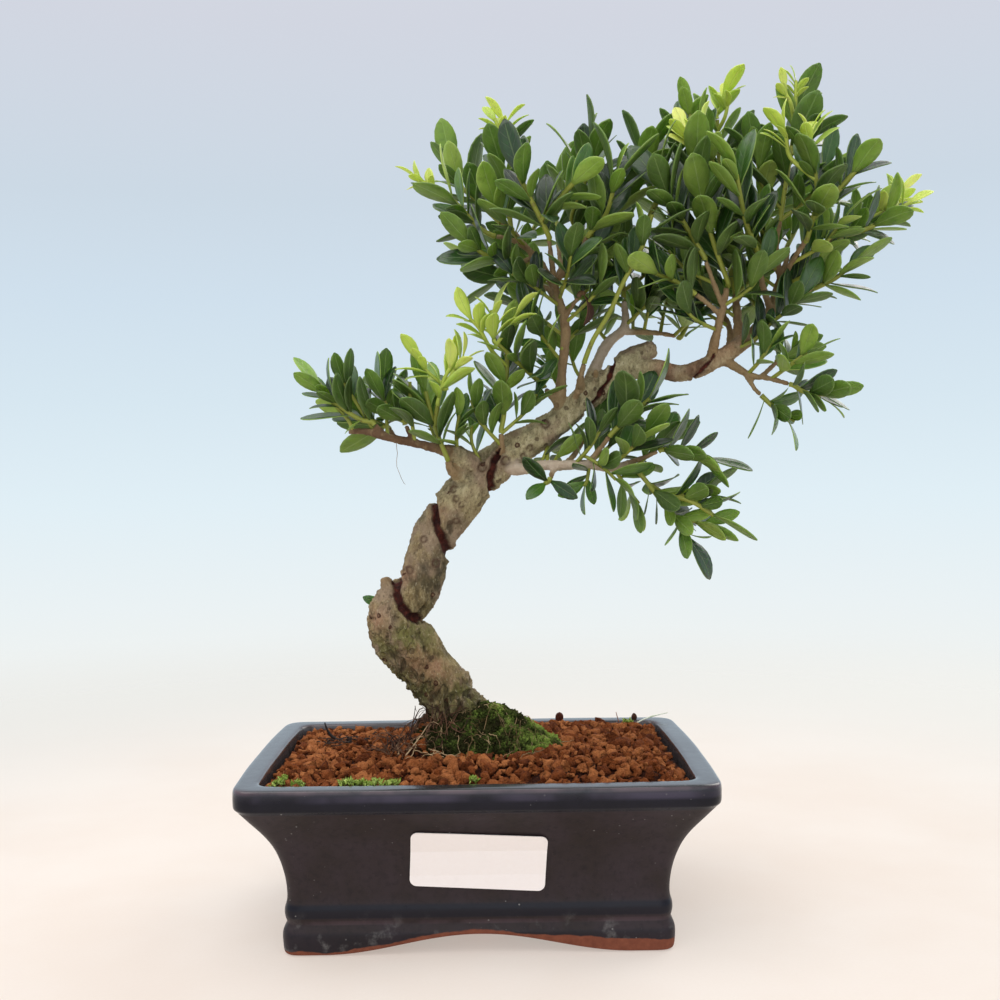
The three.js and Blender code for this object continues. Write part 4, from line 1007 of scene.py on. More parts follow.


# Bark: a mottled grain, paler high up (partly its own tone, partly painted light), with zones of blush,
# algae, painted shading and ruddy bark, painted shading in the dips of the relief, pores and wounds
def makeBark():
    add, place = startMaterial("bark", specular=0.3)
    thick, low, relief, scar = (add.stored(name) for name in ("thickness", "low", "relief", "scar"))
    stretched = add.node("Mapping", {"Vector": place, "Scale": (1.0, 1.0, 0.55)}).outputs[0]
    grain = add.noise(stretched, 480.0, 8.0, 0.75)
    base = add.ramp(grain, (0.3, "4d3a25"), (0.45, "84704b"), (0.58, "a6936a"), (0.75, "cbb990"))
    # Paler high up: partly the bark's own paler tone, partly painted light on the upper trunk
    high = add.ease(add.parts(place)[2], 0.128, 0.152)
    base = add.over(base, add.ramp(grain, (0.3, "7a6f50"), (0.5, "bdb28a"), (0.7, "e4dab6")), high, 0.65)
    base = add.mix(add.patch(place, 80.0, 0.45, 0.62, 6.0), base, add.mix(grain, "6f5a44", "b39c80"))
    olive = add.ease(high, 1.0, 0.0, 0.15, 0.5)
    base = add.over(base, "77704a", add.patch(place, 62.0, 0.52, 0.7, 6.0), olive)
    blush = add.times(add.stored("blush"), add.patch(place, 130.0, 0.25, 0.55))
    base = add.over(base, add.mix(grain, "80563e", "bd9572"), blush, 0.85)
    algae = add.times(add.stored("algae"), add.patch(stretched, 330.0, 0.32, 0.58, 8.0))
    base = add.over(base, add.mix(grain, "45451a", "8d8a46"), algae, 0.85)
    # Painted shading over the listed zones
    paintedShade = add.times(add.stored("paintedShade"), add.patch(stretched, 380.0, 0.32, 0.6, 8.0))
    base = add.over(base, "332e1b", paintedShade, 0.8)
    # Painted shading: darker in the dips of the relief, less so high up
    hollowShading = add.times(add.ease(relief, 0.46, 0.16, 0.0, 0.85),
                        add.patch(stretched, 430.0, 0.3, 0.62, 8.0))
    base = add.over(base, "3d3220", hollowShading, add.ease(high, 1.0, 0.0, 0.4, 0.9))
    flecks = add.noise(stretched, 1500.0, 3.0, 0.6)
    base = add.mix(add.ease(flecks, 0.56, 0.68, 0.0, 0.55), base, "4a3f2b")
    base = add.mix(add.ease(flecks, 0.42, 0.3, 0.0, 0.4), base, "cbbf9d")
    lines = add.ease(add.gap(add.noise(stretched, 150.0, 3.0), 0.5), 0.022, 0.006)
    lines = add.times(lines, add.ease(low, 0.1, 0.6))
    base = add.over(base, "3d3a1f", lines, 0.3)
    pores = add.group(makePores(), place=place, scale=165.0, radius=0.11, share=0.5)
    dots = add.speck(place, 300.0, 0.34)
    stout = add.ease(thick, 0.25, 0.5)
    rings = add.times(pores["ring"], stout)
    base = add.over(base, "6b4128", add.times(pores["middle"], stout), 0.5)
    base = add.over(base, "4a2616", rings, 0.9)
    base = add.over(base, "4b3626", dots, 0.6)
    around = add.times(add.stored("ring"), add.patch(place, 620.0, 0.2, 0.5))
    base = add.over(base, "4a2f20", around, 0.9)
    twigColour = add.mix(add.noise(place, 330.0, 6.0, 0.7), "60462c", "b8986c")
    base = add.mix(add.ease(thick, 0.36, 0.2, 0.0, 0.8), base, twigColour)
    ruddy = add.times(add.stored("ruddy"), add.patch(stretched, 420.0, 0.25, 0.5, 8.0))
    base = add.over(base, add.mix(grain, "2c180f", "7e5a41"), ruddy, 0.85)
    paleColour = add.mix(add.noise(place, 260.0, 6.0, 0.7), "ab9079", "e6d6c0")
    base = add.over(base, paleColour, add.stored("pale"), 0.85)
    wound = add.ramp(add.noise(place, 380.0, 6.0, 0.7), (0.32, "1c0a07"), (0.5, "43190f"), (0.7, "723423"))
    base = add.mix(add.ease(scar, 0.2, 0.6), base, wound)
    base = add.over(base, "3b1c12", add.band(scar, 0.0, 0.3, 0.35, 0.65), 0.6)
    height = add.plus(grain, add.times(rings, 0.5))
    height = add.plus(height, add.times(lines, 0.5))
    height = add.plus(height, add.times(dots, -0.3))
    return add.finish(base, add.uneven(place, 250.0, 0.62, 0.88), height, 1.0, 1.0)


wood = handOver(makeTrunk(), "bonsai_trunk", [makeBark()], ["trunk"])
print("trunk made,", len(wood.data.polygons), "faces")


# Leaf growth: the frame's own rule, so that the finer leaves stand where its solids do
growth = {
    "aspect": 0.43, "outline": [(0, 0), (0.32, 0.76), (0.74, 0.92), (1, 0)], "arch": 0.05, "sink": 0.3,
    "turn": 2.4, "tries": 8, "clearance": 2.4, "stem": 0.95, "gap": 0.35, "trunkSteps": 22, "seed": 20261,
    "neck": 1.8, "extraSeed": 5077, "extraClearance": 0.75, "extraShare": 0.5,
    "rootGap": 0.6, "rootAlong": 0.75,
    "smallest": 0.84, "sizeSpan": 0.3, "tipLean": 0.3, "baseLean": 1.05, "leanLoss": 0.45, "leanSpan": 0.3,
    "rollSpan": 0.8, "nextTurn": 0.83, "rise": 0.22, "bare": 0.06, "innerBare": 0.22, "stemPoints": 24,
}
leafRandom = makeRandom(growth["seed"])
ends, takenPoints, clearance = {}, {}, [growth["clearance"]]


def noteEnd(name, path):
    last = np.array(path[-1][:3], dtype=float)
    ends[name] = (last, unit(last - np.array(path[-2][:3], dtype=float)))


def cubeOf(point):
    return tuple(int(math.floor(part / growth["clearance"])) for part in point)


def take(point, owner):
    takenPoints.setdefault(cubeOf(point), []).append((tuple(point), owner))


def isBlocked(point, owner):
    i, j, k = cubeOf(point)
    limit = clearance[0] ** 2
    for di in (-1, 0, 1):
        for dj in (-1, 0, 1):
            for dk in (-1, 0, 1):
                for other, otherOwner in takenPoints.get((i + di, j + dj, k + dk), ()):
                    if otherOwner != owner and sum((a - b) ** 2 for a, b in zip(point, other)) < limit:
                        return True
    return False


def woodBalls(paths):
    balls = []
    for path in paths:
        path = np.array(path, dtype=float)
        for here, after in zip(path[:-1], path[1:]):
            steps = math.ceil(lengthOf((after - here)[:3]) / 1.5)
            balls += [here * (1 - step / steps) + after * step / steps for step in range(steps + 1)]
    return np.array(balls)


woodPoints = woodBalls([smoothLine(trunkLine, growth["trunkSteps"])] + list(limbs.values()))


def nearWood(points):
    away = np.linalg.norm(points[:, None, :] - woodPoints[None, :, :3], axis=2)
    return bool((away < woodPoints[None, :, 3] + clearance[0] * 0.55).any())


def alongPath(path, share):
    spans = [lengthOf(after - here) for here, after in zip(path[:-1], path[1:])]
    rest, part = sum(spans) * share, 0
    while part < len(spans) - 1 and rest > spans[part]:
        rest -= spans[part]
        part += 1
    direction = unit(path[part + 1] - path[part])
    return path[part] + direction * rest, direction


def bladePoints(leaf):
    base, direction, face, length = leaf
    side = np.cross(direction, face)
    points = []
    for row in range(2, 11):
        t = row / 10
        centre = base + direction * (length * t) + face * (length * growth["arch"] * 4 * t * (1 - t))
        halfWidth = np.interp(t, *zip(*growth["outline"])) * length * growth["aspect"] * 0.5
        points += [centre + side * (halfWidth * column / 2) for column in range(-2, 3)]
    return np.array(points)


# One leaf at a share of the way along its stem: it leans out and up, and turns on when its place is taken
def growLeaf(path, share, index, phase, size, owner, draw, drop=None):
    point, direction = alongPath(path, share)
    reference = np.array([0, 0, 1.0]) if abs(direction[2]) < 0.9 else np.array([1.0, 0, 0])
    across = unit(np.cross(direction, reference))
    beyond = np.cross(direction, across)
    grown = growth["smallest"] + growth["sizeSpan"] * draw()
    lean = growth["tipLean"] if share == 1 else growth["baseLean"] - growth["leanLoss"] * share
    lean += (draw() - 0.5) * growth["leanSpan"]
    roll = (draw() - 0.5) * growth["rollSpan"]
    for attempt in range(growth["tries"]):
        angle = phase + index * growth["turn"] + attempt * growth["nextTurn"]
        out = across * math.cos(angle) + beyond * math.sin(angle)
        tilt = lean * (1 + 0.12 * (attempt % 3))
        way = np.array([0, 0, growth["rise"]]) + direction * math.cos(tilt) + out * math.sin(tilt)
        way = unit(way if drop is None else drop)
        face = direction + np.array([0, 0, 0.5])
        face = face - way * (face @ way)
        if face @ face < 0.02:
            face = out - way * (out @ way)
        face = unit(face)
        face = unit(face * math.cos(roll) + np.cross(way, face) * math.sin(roll))
        base = point + direction * (-growth["sink"] * 3 if share == 1 else 0) - way * growth["sink"]
        leaf = (base, way, face, size * grown * (1 - 0.05 * attempt))
        samples = bladePoints(leaf)
        fits = not nearWood(samples) and insideFrame(samples)
        if fits and not any(isBlocked(sample, owner) for sample in samples):
            for sample in samples[10:]:
                take(sample, owner + " leaf")
            return leaf
    return None


frameLow, frameHigh = ((np.array(corner) - np.array(bowlCentre)) / mm for corner in cadBox)


def insideFrame(points):
    return clearance[0] == growth["clearance"] or bool(
        (points > frameLow + 1).all() and (points < frameHigh - 1).all())


def growLeaves(path, spec, owner, draw):
    phase = draw() * math.tau
    bare, count = spec.get("bare", growth["bare"]), spec["leaves"]
    leaves = []
    for index in range(count):
        share = 1 if index == count - 1 else bare + (1 - bare) * (index + 0.5) / count
        leaf = growLeaf(path, share, index, phase, spec["size"], owner, draw, spec.get("drop"))
        if leaf:
            leaves.append(leaf)
    return leaves


# More leaves in the free places of each shoot, which the coarse frame leaves open
def growExtras(path, spec, owner, draw):
    phase = draw() * math.tau
    bare = spec.get("bare", growth["bare"])
    count = int(round(spec["leaves"] * growth["extraShare"]))
    leaves = []
    for index in range(count):
        share = bare + (0.97 - bare) * (index + draw()) / count
        size = spec["size"] * (0.62 + 0.34 * draw())
        leaf = growLeaf(path, share, index, phase, size, owner, draw)
        if leaf:
            leaves.append(leaf)
    return leaves


def stemPoints(paths):
    count = growth["stemPoints"]
    return [alongPath(path, step / count)[0] for path, _ in paths for step in range(count + 1)]


stems, leavesOf, extrasOf = {}, {}, {}
everyShoot = {**shoots, **youngTips, "dead_leaf": deadLeaf}
for name, path in limbs.items():
    noteEnd(name, path)
for name, spec in everyShoot.items():
    start, direction = ends[spec["from"]]
    path = [start + direction * growth["gap"], start + direction * growth["neck"], *np.array(spec["path"])]
    stems[name] = [(path, spec)]
    noteEnd(name, path)
    if "side" in spec:
        sidePath, leaves = spec["side"]
        path = list(np.array(readPath(sidePath)))
        stems[name].append((path, {"leaves": leaves, "size": spec["size"]}))
        noteEnd(name + "Side", path)
    for point in stemPoints(stems[name]):
        take(point, name)
for name in everyShoot:
    leavesOf[name] = [leaf for path,
                      spec in stems[name] for leaf in growLeaves(path, spec, name, leafRandom)]
leavesOf["burrLeaf"] = [(np.array((-31.0, 6.0, 103.6)), unit(np.array((-0.93, -0.15, 0.42))),
                         unit(np.array((0.1, -1.0, 0.1))), 9.5)]
clearance[0] = growth["extraClearance"]
extraRandom = makeRandom(growth["extraSeed"])

# Short leafy side shoots that fill the crown between the framed ones: leaves, their size, then the path
innerShoots = {
    "crown_top": [
        "9 18; 34 0 238, 39 -8 249, 41 -10 256", "8 17; 52 -2 240, 57 -2 250, 60 -3 258",
        "8 16; 68 2 250, 71 0 260, 72 0 266", "8 16; 104 -5 256, 108 -2 264, 111 0 268",
        "8 17; 98 -6 246, 97 -4 254, 96 -3 260", "8 17; 62 6 240, 66 8 250, 67 9 256",
        "7 16; 84 0 252, 80 -4 260, 78 -6 266",
    ],
    "left_top": [
        "8 15; -34 -11 165, -40 -13 175, -43 -14 180", "7 13; -42 -12 168, -48 -14 175, -51 -14 180",
    ],
    "low_right": [
        "8 15; 63 -14 141, 71 -14 142, 76 -15 143", "7 14; 66 -13 134, 72 -12 133, 77 -11 132",
    ],
    "young_tops": [
        "7 9.5; 87 1 271, 88 0 276, 88.5 0 279", "7 8; 109 -8 272, 109 -9 277, 109 -9 280",
        "8 12; 103 -25 250, 101 -28 255, 100 -29 258", "6 9; -10 -13 242, -15 -15 245, -18 -15 247",
        "7 10; 140 8 238, 145 8 241, 148 8 243", "6 10; 11 -9 260, 9 -10 265, 8 -10 268",
        "7 11; 74 -16 252, 71 -18 258, 70 -18 261",
    ],
    "young_cluster": [
        "7 12; 6 -16 190, 2 -19 197, -1 -20 200", "7 12; 7 -17 191, 12 -18 198, 14 -19 201",
        "6 11; -9 -16 178, -15 -17 183, -18 -18 187", "6 11; -10 -17 178, -6 -18 184, -3 -19 188",
    ],
    "fork_left": [
        "8 14; 29 -6 188, 22 -12 196, 18 -14 202", "8 15; 30 -7 196, 21 -2 204, 15 1 210",
        "8 15; 29 -6 206, 19 -14 212, 13 -17 215", "8 15; 31 -7 200, 39 -13 207, 44 -16 213",
        "8 15; 30 -6 204, 38 1 211, 43 4 218", "8 15; 29 -6 208, 31 -16 214, 32 -22 220",
        "7 15; 30 -7 192, 36 2 199, 40 7 206", "8 16; 27 -5 213, 22 7 217, 20 13 221",
        "8 16; 28 -6 210, 36 -6 218, 41 -8 225", "6 13; 23 -4 221, 16 0 222, 11 2 226",
        "8 17; 31 0 221, 40 6 224, 47 9 230", "7 16; 18 -5 226, 12 -14 231, 8 -18 237",
        "8 17; 34 3 228, 44 -2 233, 50 -4 241", "8 17; 30 10 229, 38 18 232, 43 22 240",
        "8 16; 24 8 217, 33 16 220, 38 20 226",
    ],
    "fork_right": [
        "8 16; 84 -9 205, 92 -14 210, 96 -17 217", "7 15; 82 -8 197, 74 -12 200, 69 -14 205",
        "8 16; 91 2 202, 83 4 209, 78 4 216", "8 16; 91 6 211, 99 10 218, 104 11 226",
        "8 15; 96 -2 197, 104 -9 202, 109 -12 207", "8 15; 102 0 204, 111 3 208, 117 4 213",
        "8 15; 105 1 212, 113 -6 216, 119 -9 221", "8 16; 105 1 212, 97 4 219, 91 5 226",
        "8 17; 106 1 217, 99 -5 223, 95 -9 231", "8 16; 113 3 222, 120 10 227, 125 14 234",
        "8 17; 103 -4 226, 95 -12 231, 90 -15 239", "8 17; 104 -6 234, 113 -10 241, 118 -11 250",
        "8 16; 89 7 200, 80 12 207, 74 14 214", "8 17; 110 10 224, 100 16 229, 95 19 237",
        "8 17; 94 6 230, 99 3 239, 101 2 249", "8 16; 87 12 204, 95 18 211, 99 21 219",
        "8 16; 107 -8 219, 116 -16 224, 121 -20 231", "8 17; 80 -13 212, 72 -9 217, 66 -7 224",
    ],
    "centre_back": [
        "8 15; 53 11 201, 60 6 208, 63 4 215", "7 15; 53 13 208, 46 12 213, 41 12 220",
        "7 14; 60 13 199, 61 8 206, 63 6 211", "7 15; 66 14 199, 68 20 206, 70 23 213",
        "7 14; 71 16 198, 75 10 202, 78 7 206", "7 15; 56 12 199, 57 19 204, 58 23 210",
        "8 17; 53 14 214, 61 17 220, 66 18 228", "6 14; 47 8 195, 44 13 200, 42 16 206",
        "7 15; 36 6 184, 34 8 190, 33 9 196", "7 14; 30 4 178, 27 6 184, 26 7 190",
    ],
    "left_branch": [
        "8 16; -20 -10 160, -21 -14 171, -21 -16 180", "8 16; -29 -11 162, -30 -3 172, -31 -1 181",
        "7 15; -12 -9 158, -15 -3 166, -18 0 174", "7 13; -6 -6 156, -6 -11 163, -5 -13 169",
        "7 14; 9 -7 159, 2 -11 167, -1 -13 174", "7 14; 9 -8 163, 17 -9 170, 21 -10 176",
        "5 12; 2 -3 153, -1 -4 160, -1 -4 166",
    ],
    "lower_branch": [
        "7 14; 22 -9 152, 25 -3 159, 27 1 164", "7 14; 33 -13 152, 38 -18 158, 41 -20 163",
        "7 15; 37 -14 152, 45 -7 158, 50 -4 163", "7 15; 45 -15 151, 51 -21 157, 56 -24 162",
        "7 15; 52 -15 150, 59 -9 156, 64 -6 161", "6 14; 36 -15 155, 42 -19 151, 46 -21 147",
        "7 14; 46 -15 151, 51 -10 144, 55 -8 139", "7 14; 57 -15 146, 64 -9 142, 70 -7 139",
    ],
    "right_low": [
        "7 14; 87 -4 190, 95 -8 194, 100 -10 199", "6 13; 92 -9 182, 95 -14 186, 98 -16 191",
        "7 14; 99 -13 180, 104 -18 184, 109 -20 188",
    ],
    "branch_collar": [
        "7 13; 26 -11 152, 29 -5 157, 33 -2 162", "6 12; 24 -10 152, 25 -2 158, 25 5 161",
        "5 11; 38 -14 152, 37 -16 147, 36 -17 145",
    ],
    "crown_tips": [
        "5 17; 108 -8 256, 111 -8 259, 114 -8 262", "4 12; 75 -8 262, 73.5 -9 268, 73 -9 271",
    ],
    "young_crest": [
        "5 7; 107 -10 272, 105.5 -10 275, 105 -10 278",
    ],
}
for name in everyShoot:
    skip = name in ("dead_leaf", "burrLeaf", "lowerSmall")
    extrasOf[name] = [] if skip else [
        leaf for path, spec in stems[name] for leaf in growExtras(path, spec, name, extraRandom)]

# The point of the framed wood and stems where a side shoot is rooted
heldPoints = np.array([*woodPoints[:, :3],
                       *(point for framed in stems.values() for point in stemPoints(framed))])


def rootOf(path):
    gaps = path[0] - heldPoints
    away = np.linalg.norm(gaps, axis=1)
    best = np.argmin(away - growth["rootAlong"] * (gaps @ unit(path[1] - path[0])))
    return heldPoints[best], away[best]


for region, rows in innerShoots.items():
    specs = [readShoot(region + " " + row) for row in rows]
    stems[region] = [(path, {**spec, "bare": growth["innerBare"], "root": rootOf(path)})
                     for path, spec in ((np.array(spec["path"]), spec) for spec in specs)]
    leavesOf[region] = [leaf for path, spec in stems[region]
                        for leaf in growLeaves(path, spec, region, extraRandom)]
    extrasOf[region] = []
print("leaves placed,", sum(map(len, leavesOf.values())), "and", sum(map(len, extrasOf.values())), "more")


# A leaf blade, one unit long, made from a grid: rows drawn in to the outline, folded, arched and thickened
bladeKeys = ("fold", "arch", "curl", "twist", "width", "rows", "thick")
blades = {name: dict(zip(bladeKeys, row)) for name, row in {
    "broad": (0.10, 0.05, 0.05, 4, 0.41, 7, 0.018),
    "flat": (0.05, 0.03, -0.03, -6, 0.43, 7, 0.018),
    "cupped": (0.17, -0.03, 0.09, 9, 0.37, 7, 0.018),
    "young": (0.20, 0.02, 0.10, -10, 0.38, 6, 0.018),
    "dead": (0.30, 0.14, 0.2, 26, 0.36, 7, 0.02),
}.items()}
bladeShape = readPath("0 0.05, 0.07 0.1, 0.17 0.36, 0.3 0.7, 0.45 0.94, 0.6 1, 0.74 0.93, 0.86 0.72, "
                      "0.95 0.42, 1 0.1")


def modelBlade(name):
    settings = blades[name]
    rows = settings["rows"]
    deselectAll()
    bpy.ops.mesh.primitive_grid_add(x_subdivisions=4, y_subdivisions=rows, size=1, location=(0, 0.5, 0))
    piece = bakePlace(bpy.context.object)
    editMode(piece)
    for row in reversed(range(rows + 1)):
        at = row / rows
        placed = 1 - (1 - at) ** 1.25
        pickPoints(piece, lambda co: abs(co.y - at) < 0.2 / rows)
        share = float(np.interp(placed, *zip(*bladeShape))) * settings["width"]
        curl = settings["curl"] * max(0.0, placed - 0.6) ** 2 * 4
        lift = settings["arch"] * 4 * placed * (1 - placed) - curl
        bpy.ops.transform.resize(value=(share, 1, 1), center_override=(0, at, 0))
        bpy.ops.transform.rotate(value=-math.radians(settings["twist"]) * (placed - 0.3), orient_axis="Y",
                                 center_override=(0, at, 0))
        bpy.ops.transform.translate(value=(0, placed - at, lift))
    objectMode()
    points = pointsOf(piece)
    points[:, 2] += settings["fold"] * np.abs(points[:, 0])
    setPoints(piece, points)
    for slot in range(2):
        piece.data.materials.append(None)
    applyModifier(piece, "SOLIDIFY", thickness=settings["thick"], offset=-1.0, material_offset=1,
                  material_offset_rim=1)
    smoothShade(piece, 50)
    return piece


bladeNames = list(blades)
bladeModels = [modelBlade(name) for name in bladeNames]


def bladeMatrix(leaf):
    base, direction, face, length = leaf
    side = np.cross(direction, face)
    turn = np.column_stack([side, direction, face]) * length * mm
    return np.column_stack([turn, worldPoints([base])[0]])


def makeShoot(name, draw, finish):
    young, dead = name.startswith("young"), name == "dead_leaf"
    paths = []
    for path, spec in stems[name]:
        root, away = spec.get("root", (None, 0))
        path = [root, *path] if away > growth["rootGap"] else path
        thick = growth["stem"] * (0.8 if young else 0.75 if name in innerShoots else 1.0)
        radii = [thick * (1 - 0.3 * i / len(path)) for i in range(len(path))]
        stations = [(*point, radius) for point, radius in zip(path, radii)]
        paths.append(smoothLine(stations, (len(stations) - 1) * 4))
    stem = tubesAlong(paths, 1)
    for face in stem.data.polygons:
        face.material_index = 2
    addValues(stem, "tone", 0.5)
    places = []
    main = leavesOf[name]
    for index, leaf in enumerate(main + extrasOf[name]):
        kind = "dead" if dead else "young" if young else ("broad", "flat", "cupped")[int(draw() * 3)]
        newness = index / max(1, len(main) - 1) if index < len(main) else draw() * 0.7
        tone = min(1.0, max(0.0, 0.08 + 0.38 * newness ** 2 + 0.58 * draw() ** 1.8))
        places.append((bladeNames.index(kind), bladeMatrix(leaf), tone))
    foliage = scatterCopies(name + "_leaves", bladeModels, places)
    for piece in (foliage, stem):
        for material in finish:
            piece.data.materials.append(material)
    return joinPieces([foliage, stem])


# Leaf finishes: glossy and dark above, matt and olive below, with a pale midrib and faint side veins
leafColours = {
    "top": ("11220e", "203c13", "3c611c", "7fa139"),
    "under": ("324519", "536d25", "80983a", "a9ba5a"),
    "youngTop": ("8aa636", "a9c042", "c0cf50", "d3dc68"),
    "youngUnder": ("9bb548", "b3c653", "c6d465", "d7df7c"),
    "deadTop": ("3c2118", "5a3220", "6d3f28", "7a4a30"),
    "deadUnder": ("5a3c2a", "6f4a34", "80583e", "8a6346"),
}


def makeBlade(name, rough, veinColour, soft, coat=0.0):
    add, place = startMaterial("leaf_" + name, specular=0.5, coat=coat, coatRoughness=0.28, soft=soft,
                               softReach=(0.0011, 0.0016, 0.0005), softScale=1.0)
    blade = add.node("UVMap", uv_map="UVMap").outputs[0]
    marks = add.group(veins, map=blade, pairs=6.0, slant=1.4)
    waver = add.times(add.minus(add.noise(place, 130.0, 3.0), 0.5), 0.5)
    codes = leafColours[name]
    colour = add.ramp(add.plus(add.stored("tone"), waver), *zip((0.0, 0.35, 0.7, 1.0), codes))
    colour = add.over(colour, codes[0], add.patch(place, 420.0, 0.5, 0.75), 0.3)
    for mark, share in (("side", 0.04), ("midrib", 0.22), ("rim", 0.12)):
        colour = add.over(colour, veinColour, marks[mark], share)
    ridge = add.plus(add.times(marks["midrib"], -0.8), add.times(marks["side"], -0.35))
    ridge = add.plus(ridge, add.times(add.noise(place, 520.0, 3.0), 0.5))
    return add.finish(colour, add.uneven(place, 260.0, rough - 0.06, rough + 0.1), ridge, 0.22, 0.8)


def makeStem(name, dark, light):
    add, place = startMaterial(name, specular=0.4)
    colour = add.mix(add.noise(place, 170.0, 5.0), dark, light)
    colour = add.over(colour, "6b5a34", add.speck(place, 420.0, 0.35), 0.5)
    return add.finish(colour, add.uneven(place, 300.0, 0.42, 0.62), add.noise(place, 650.0), 0.12, 0.7)


matureSet = [makeBlade("top", 0.34, "8fa468", 0.25, 0.17), makeBlade("under", 0.55, "b3c583", 0.3),
             makeStem("green_stem", "757c2c", "a3a745")]
youngSet = [makeBlade("youngTop", 0.42, "dfe99a", 0.35, 0.1), makeBlade("youngUnder", 0.5, "e4edaa", 0.35),
            makeStem("young_stem", "9fae3c", "c3cf5c")]
deadSet = [makeBlade("deadTop", 0.7, "8a6346", 0.0), makeBlade("deadUnder", 0.75, "9a7556", 0.0),
           makeStem("dry_stem", "5a4028", "7d6040")]
toneRandom = makeRandom(9173)
finishes = {"leaf": matureSet, "young_leaf": youngSet, "dead_leaf": deadSet}
for name in [*everyShoot, *innerShoots]:
    slotName = "young_leaf" if name.startswith("young") else "dead_leaf" if name == "dead_leaf" else "leaf"
    shoot = makeShoot(name, toneRandom, finishes[slotName])
    if name in innerShoots:
        handOver(shoot, "inner_leaves_" + name)
    else:
        handOver(shoot, "foliage_" + name, (), [name])
removePieces(bladeModels)
print("foliage made,", len(everyShoot), "shoots")


# Soil: a heaped bed over the frame's, with loose baked granules in it and debris against the trunk
soil = {
    "level": 50.3, "mound": {"x": -3, "y": 6, "height": 8, "spreadX": 34, "spreadY": 22},
    "reachX": 66.3, "reachY": 46.3, "corner": 5.0, "edgeRise": 3.0, "seed": 4021, "crowd": 0.62, "kinds": 7,
    "sizes": [(150, 3.0, 3.9), (360, 2.1, 3.0), (600, 1.4, 2.1), (800, 0.8, 1.4)],
    "debris": (-17.0, 0.0, 8.0, 9.0, 11.0), "bedLevel": 53.2, "slope": 15, "tries": 5, "woodGap": 0.7,
    "heap": ((-66, -30, 0, 20, 66), (1.5, 1.8, 3.4, 4.4, 3.6)),
}


def soilHeight(x, y):
    mound = soil["mound"]
    return soil["level"] + mound["height"] * math.exp(
        -((x - mound["x"]) / mound["spreadX"]) ** 2 - ((y - mound["y"]) / mound["spreadY"]) ** 2)


# The level that the granules reach: higher on the right, low along the walls, heaped against the trunk
def bedTop(x, y):
    inward = max(0.0, min(soil["reachX"] - abs(x), soil["reachY"] - abs(y)))
    heap = float(np.interp(x, *soil["heap"]))
    level = soil["bedLevel"] + heap * min(1.0, inward / soil["slope"])
    level += 0.5 * noise.noise(Vector((x, y, 0)) * 0.1)
    debrisX, debrisY, spreadX, spreadY, height = soil["debris"]
    level += height * math.exp(-((x - debrisX) / spreadX) ** 2 - ((y - debrisY) / spreadY) ** 2)
    return max(level, soilHeight(x, y) + 1.2)


def modelGranule(kind):
    deselectAll()
    bpy.ops.mesh.primitive_ico_sphere_add(subdivisions=2, radius=1, location=(0, 0, 0))
    piece = bpy.context.object
    editMode(piece)
    draw = makeRandom(700 + kind * 37)
    for chip in range(6):
        normal = Vector((draw() - 0.5, draw() - 0.5, draw() - 0.5)).normalized()
        away = 0.7 + 0.2 * draw()
        pickPoints(piece, lambda co: co.normalized().dot(normal) > away - 0.1)
        bpy.ops.transform.translate(value=normal * -(0.2 + 0.25 * draw()))
    objectMode()
    points = pointsOf(piece)
    shift = Vector((kind * 5.1, 2.0, 1.0))
    for point in points:
        where = Vector(point)
        point *= 1 + 0.3 * noise.noise(where * 1.9 + shift) + 0.3 * noise.noise(where * 4.3 + shift)
    setPoints(piece, points * np.array([1.1, 0.86, 0.76]))
    smoothShade(piece, 50)
    return piece


def insideBed(x, y, keep):
    reachX, reachY = soil["reachX"] - keep, soil["reachY"] - keep
    overX, overY = abs(x) - reachX + soil["corner"], abs(y) - reachY + soil["corner"]
    if overX > 0 and overY > 0:
        return math.hypot(overX, overY) < soil["corner"]
    return abs(x) < reachX and abs(y) < reachY


def spin(axis, angle):
    return Matrix.Rotation(angle, 3, axis)


def turnMatrix(draw, size, place):
    turn = spin("Z", draw() * 6.28) @ spin("X", draw() * 6.28) @ spin("Y", draw() * 6.28)
    return np.column_stack([np.array(turn) * size * mm, worldPoints([place])[0]])


def makeGranules():
    models = [modelGranule(kind) for kind in range(soil["kinds"])]
    draw = makeRandom(soil["seed"])
    placed = np.zeros((0, 4))
    places = []
    woodTree = BVHTree.FromObject(wood, bpy.context.evaluated_depsgraph_get())
    for wanted, low, high in soil["sizes"]:
        here = 0
        for attempt in range(wanted * soil["tries"]):
            if here >= wanted:
                break
            size = low + (high - low) * draw()
            x, y = (draw() * 2 - 1) * soil["reachX"], (draw() * 2 - 1) * soil["reachY"]
            if not insideBed(x, y, size * 0.9):
                continue
            z = bedTop(x, y) - size * (0.25 + 0.45 * draw())
            away = np.linalg.norm(placed[:, :3] - (x, y, z), axis=1)
            if (away < (placed[:, 3] + size) * soil["crowd"]).any():
                continue
            found = woodTree.find_nearest(toWorld(x, y, z))
            if found[3] is not None and found[3] < size * soil["woodGap"] * mm:
                continue
            placed = np.vstack([placed, (x, y, z, size)])
            places.append((int(draw() * soil["kinds"]), turnMatrix(draw, size, (x, y, z)), draw()))
            here += 1
    piece = scatterCopies("granules", models, places)
    removePieces(models)
    return piece


# A closed sheet: a grid raised to its top by a rule that gives each point from its place in the unit square
def makeSheet(cuts, rule):
    deselectAll()
    bpy.ops.mesh.primitive_grid_add(x_subdivisions=cuts[0], y_subdivisions=cuts[1], size=2,
                                    location=(0, 0, 0))
    piece = bpy.context.object
    editMode(piece)
    pickAll()
    bpy.ops.mesh.extrude_region_move(TRANSFORM_OT_translate={"value": (0, 0, 1)})
    pickAll()
    bpy.ops.mesh.normals_make_consistent(inside=False)
    objectMode()
    points = pointsOf(piece)
    for point in points:
        point[:] = toWorld(*rule(point[0], point[1], point[2] > 0.5))
    setPoints(piece, points)
    smoothShade(piece, 60)
    return piece


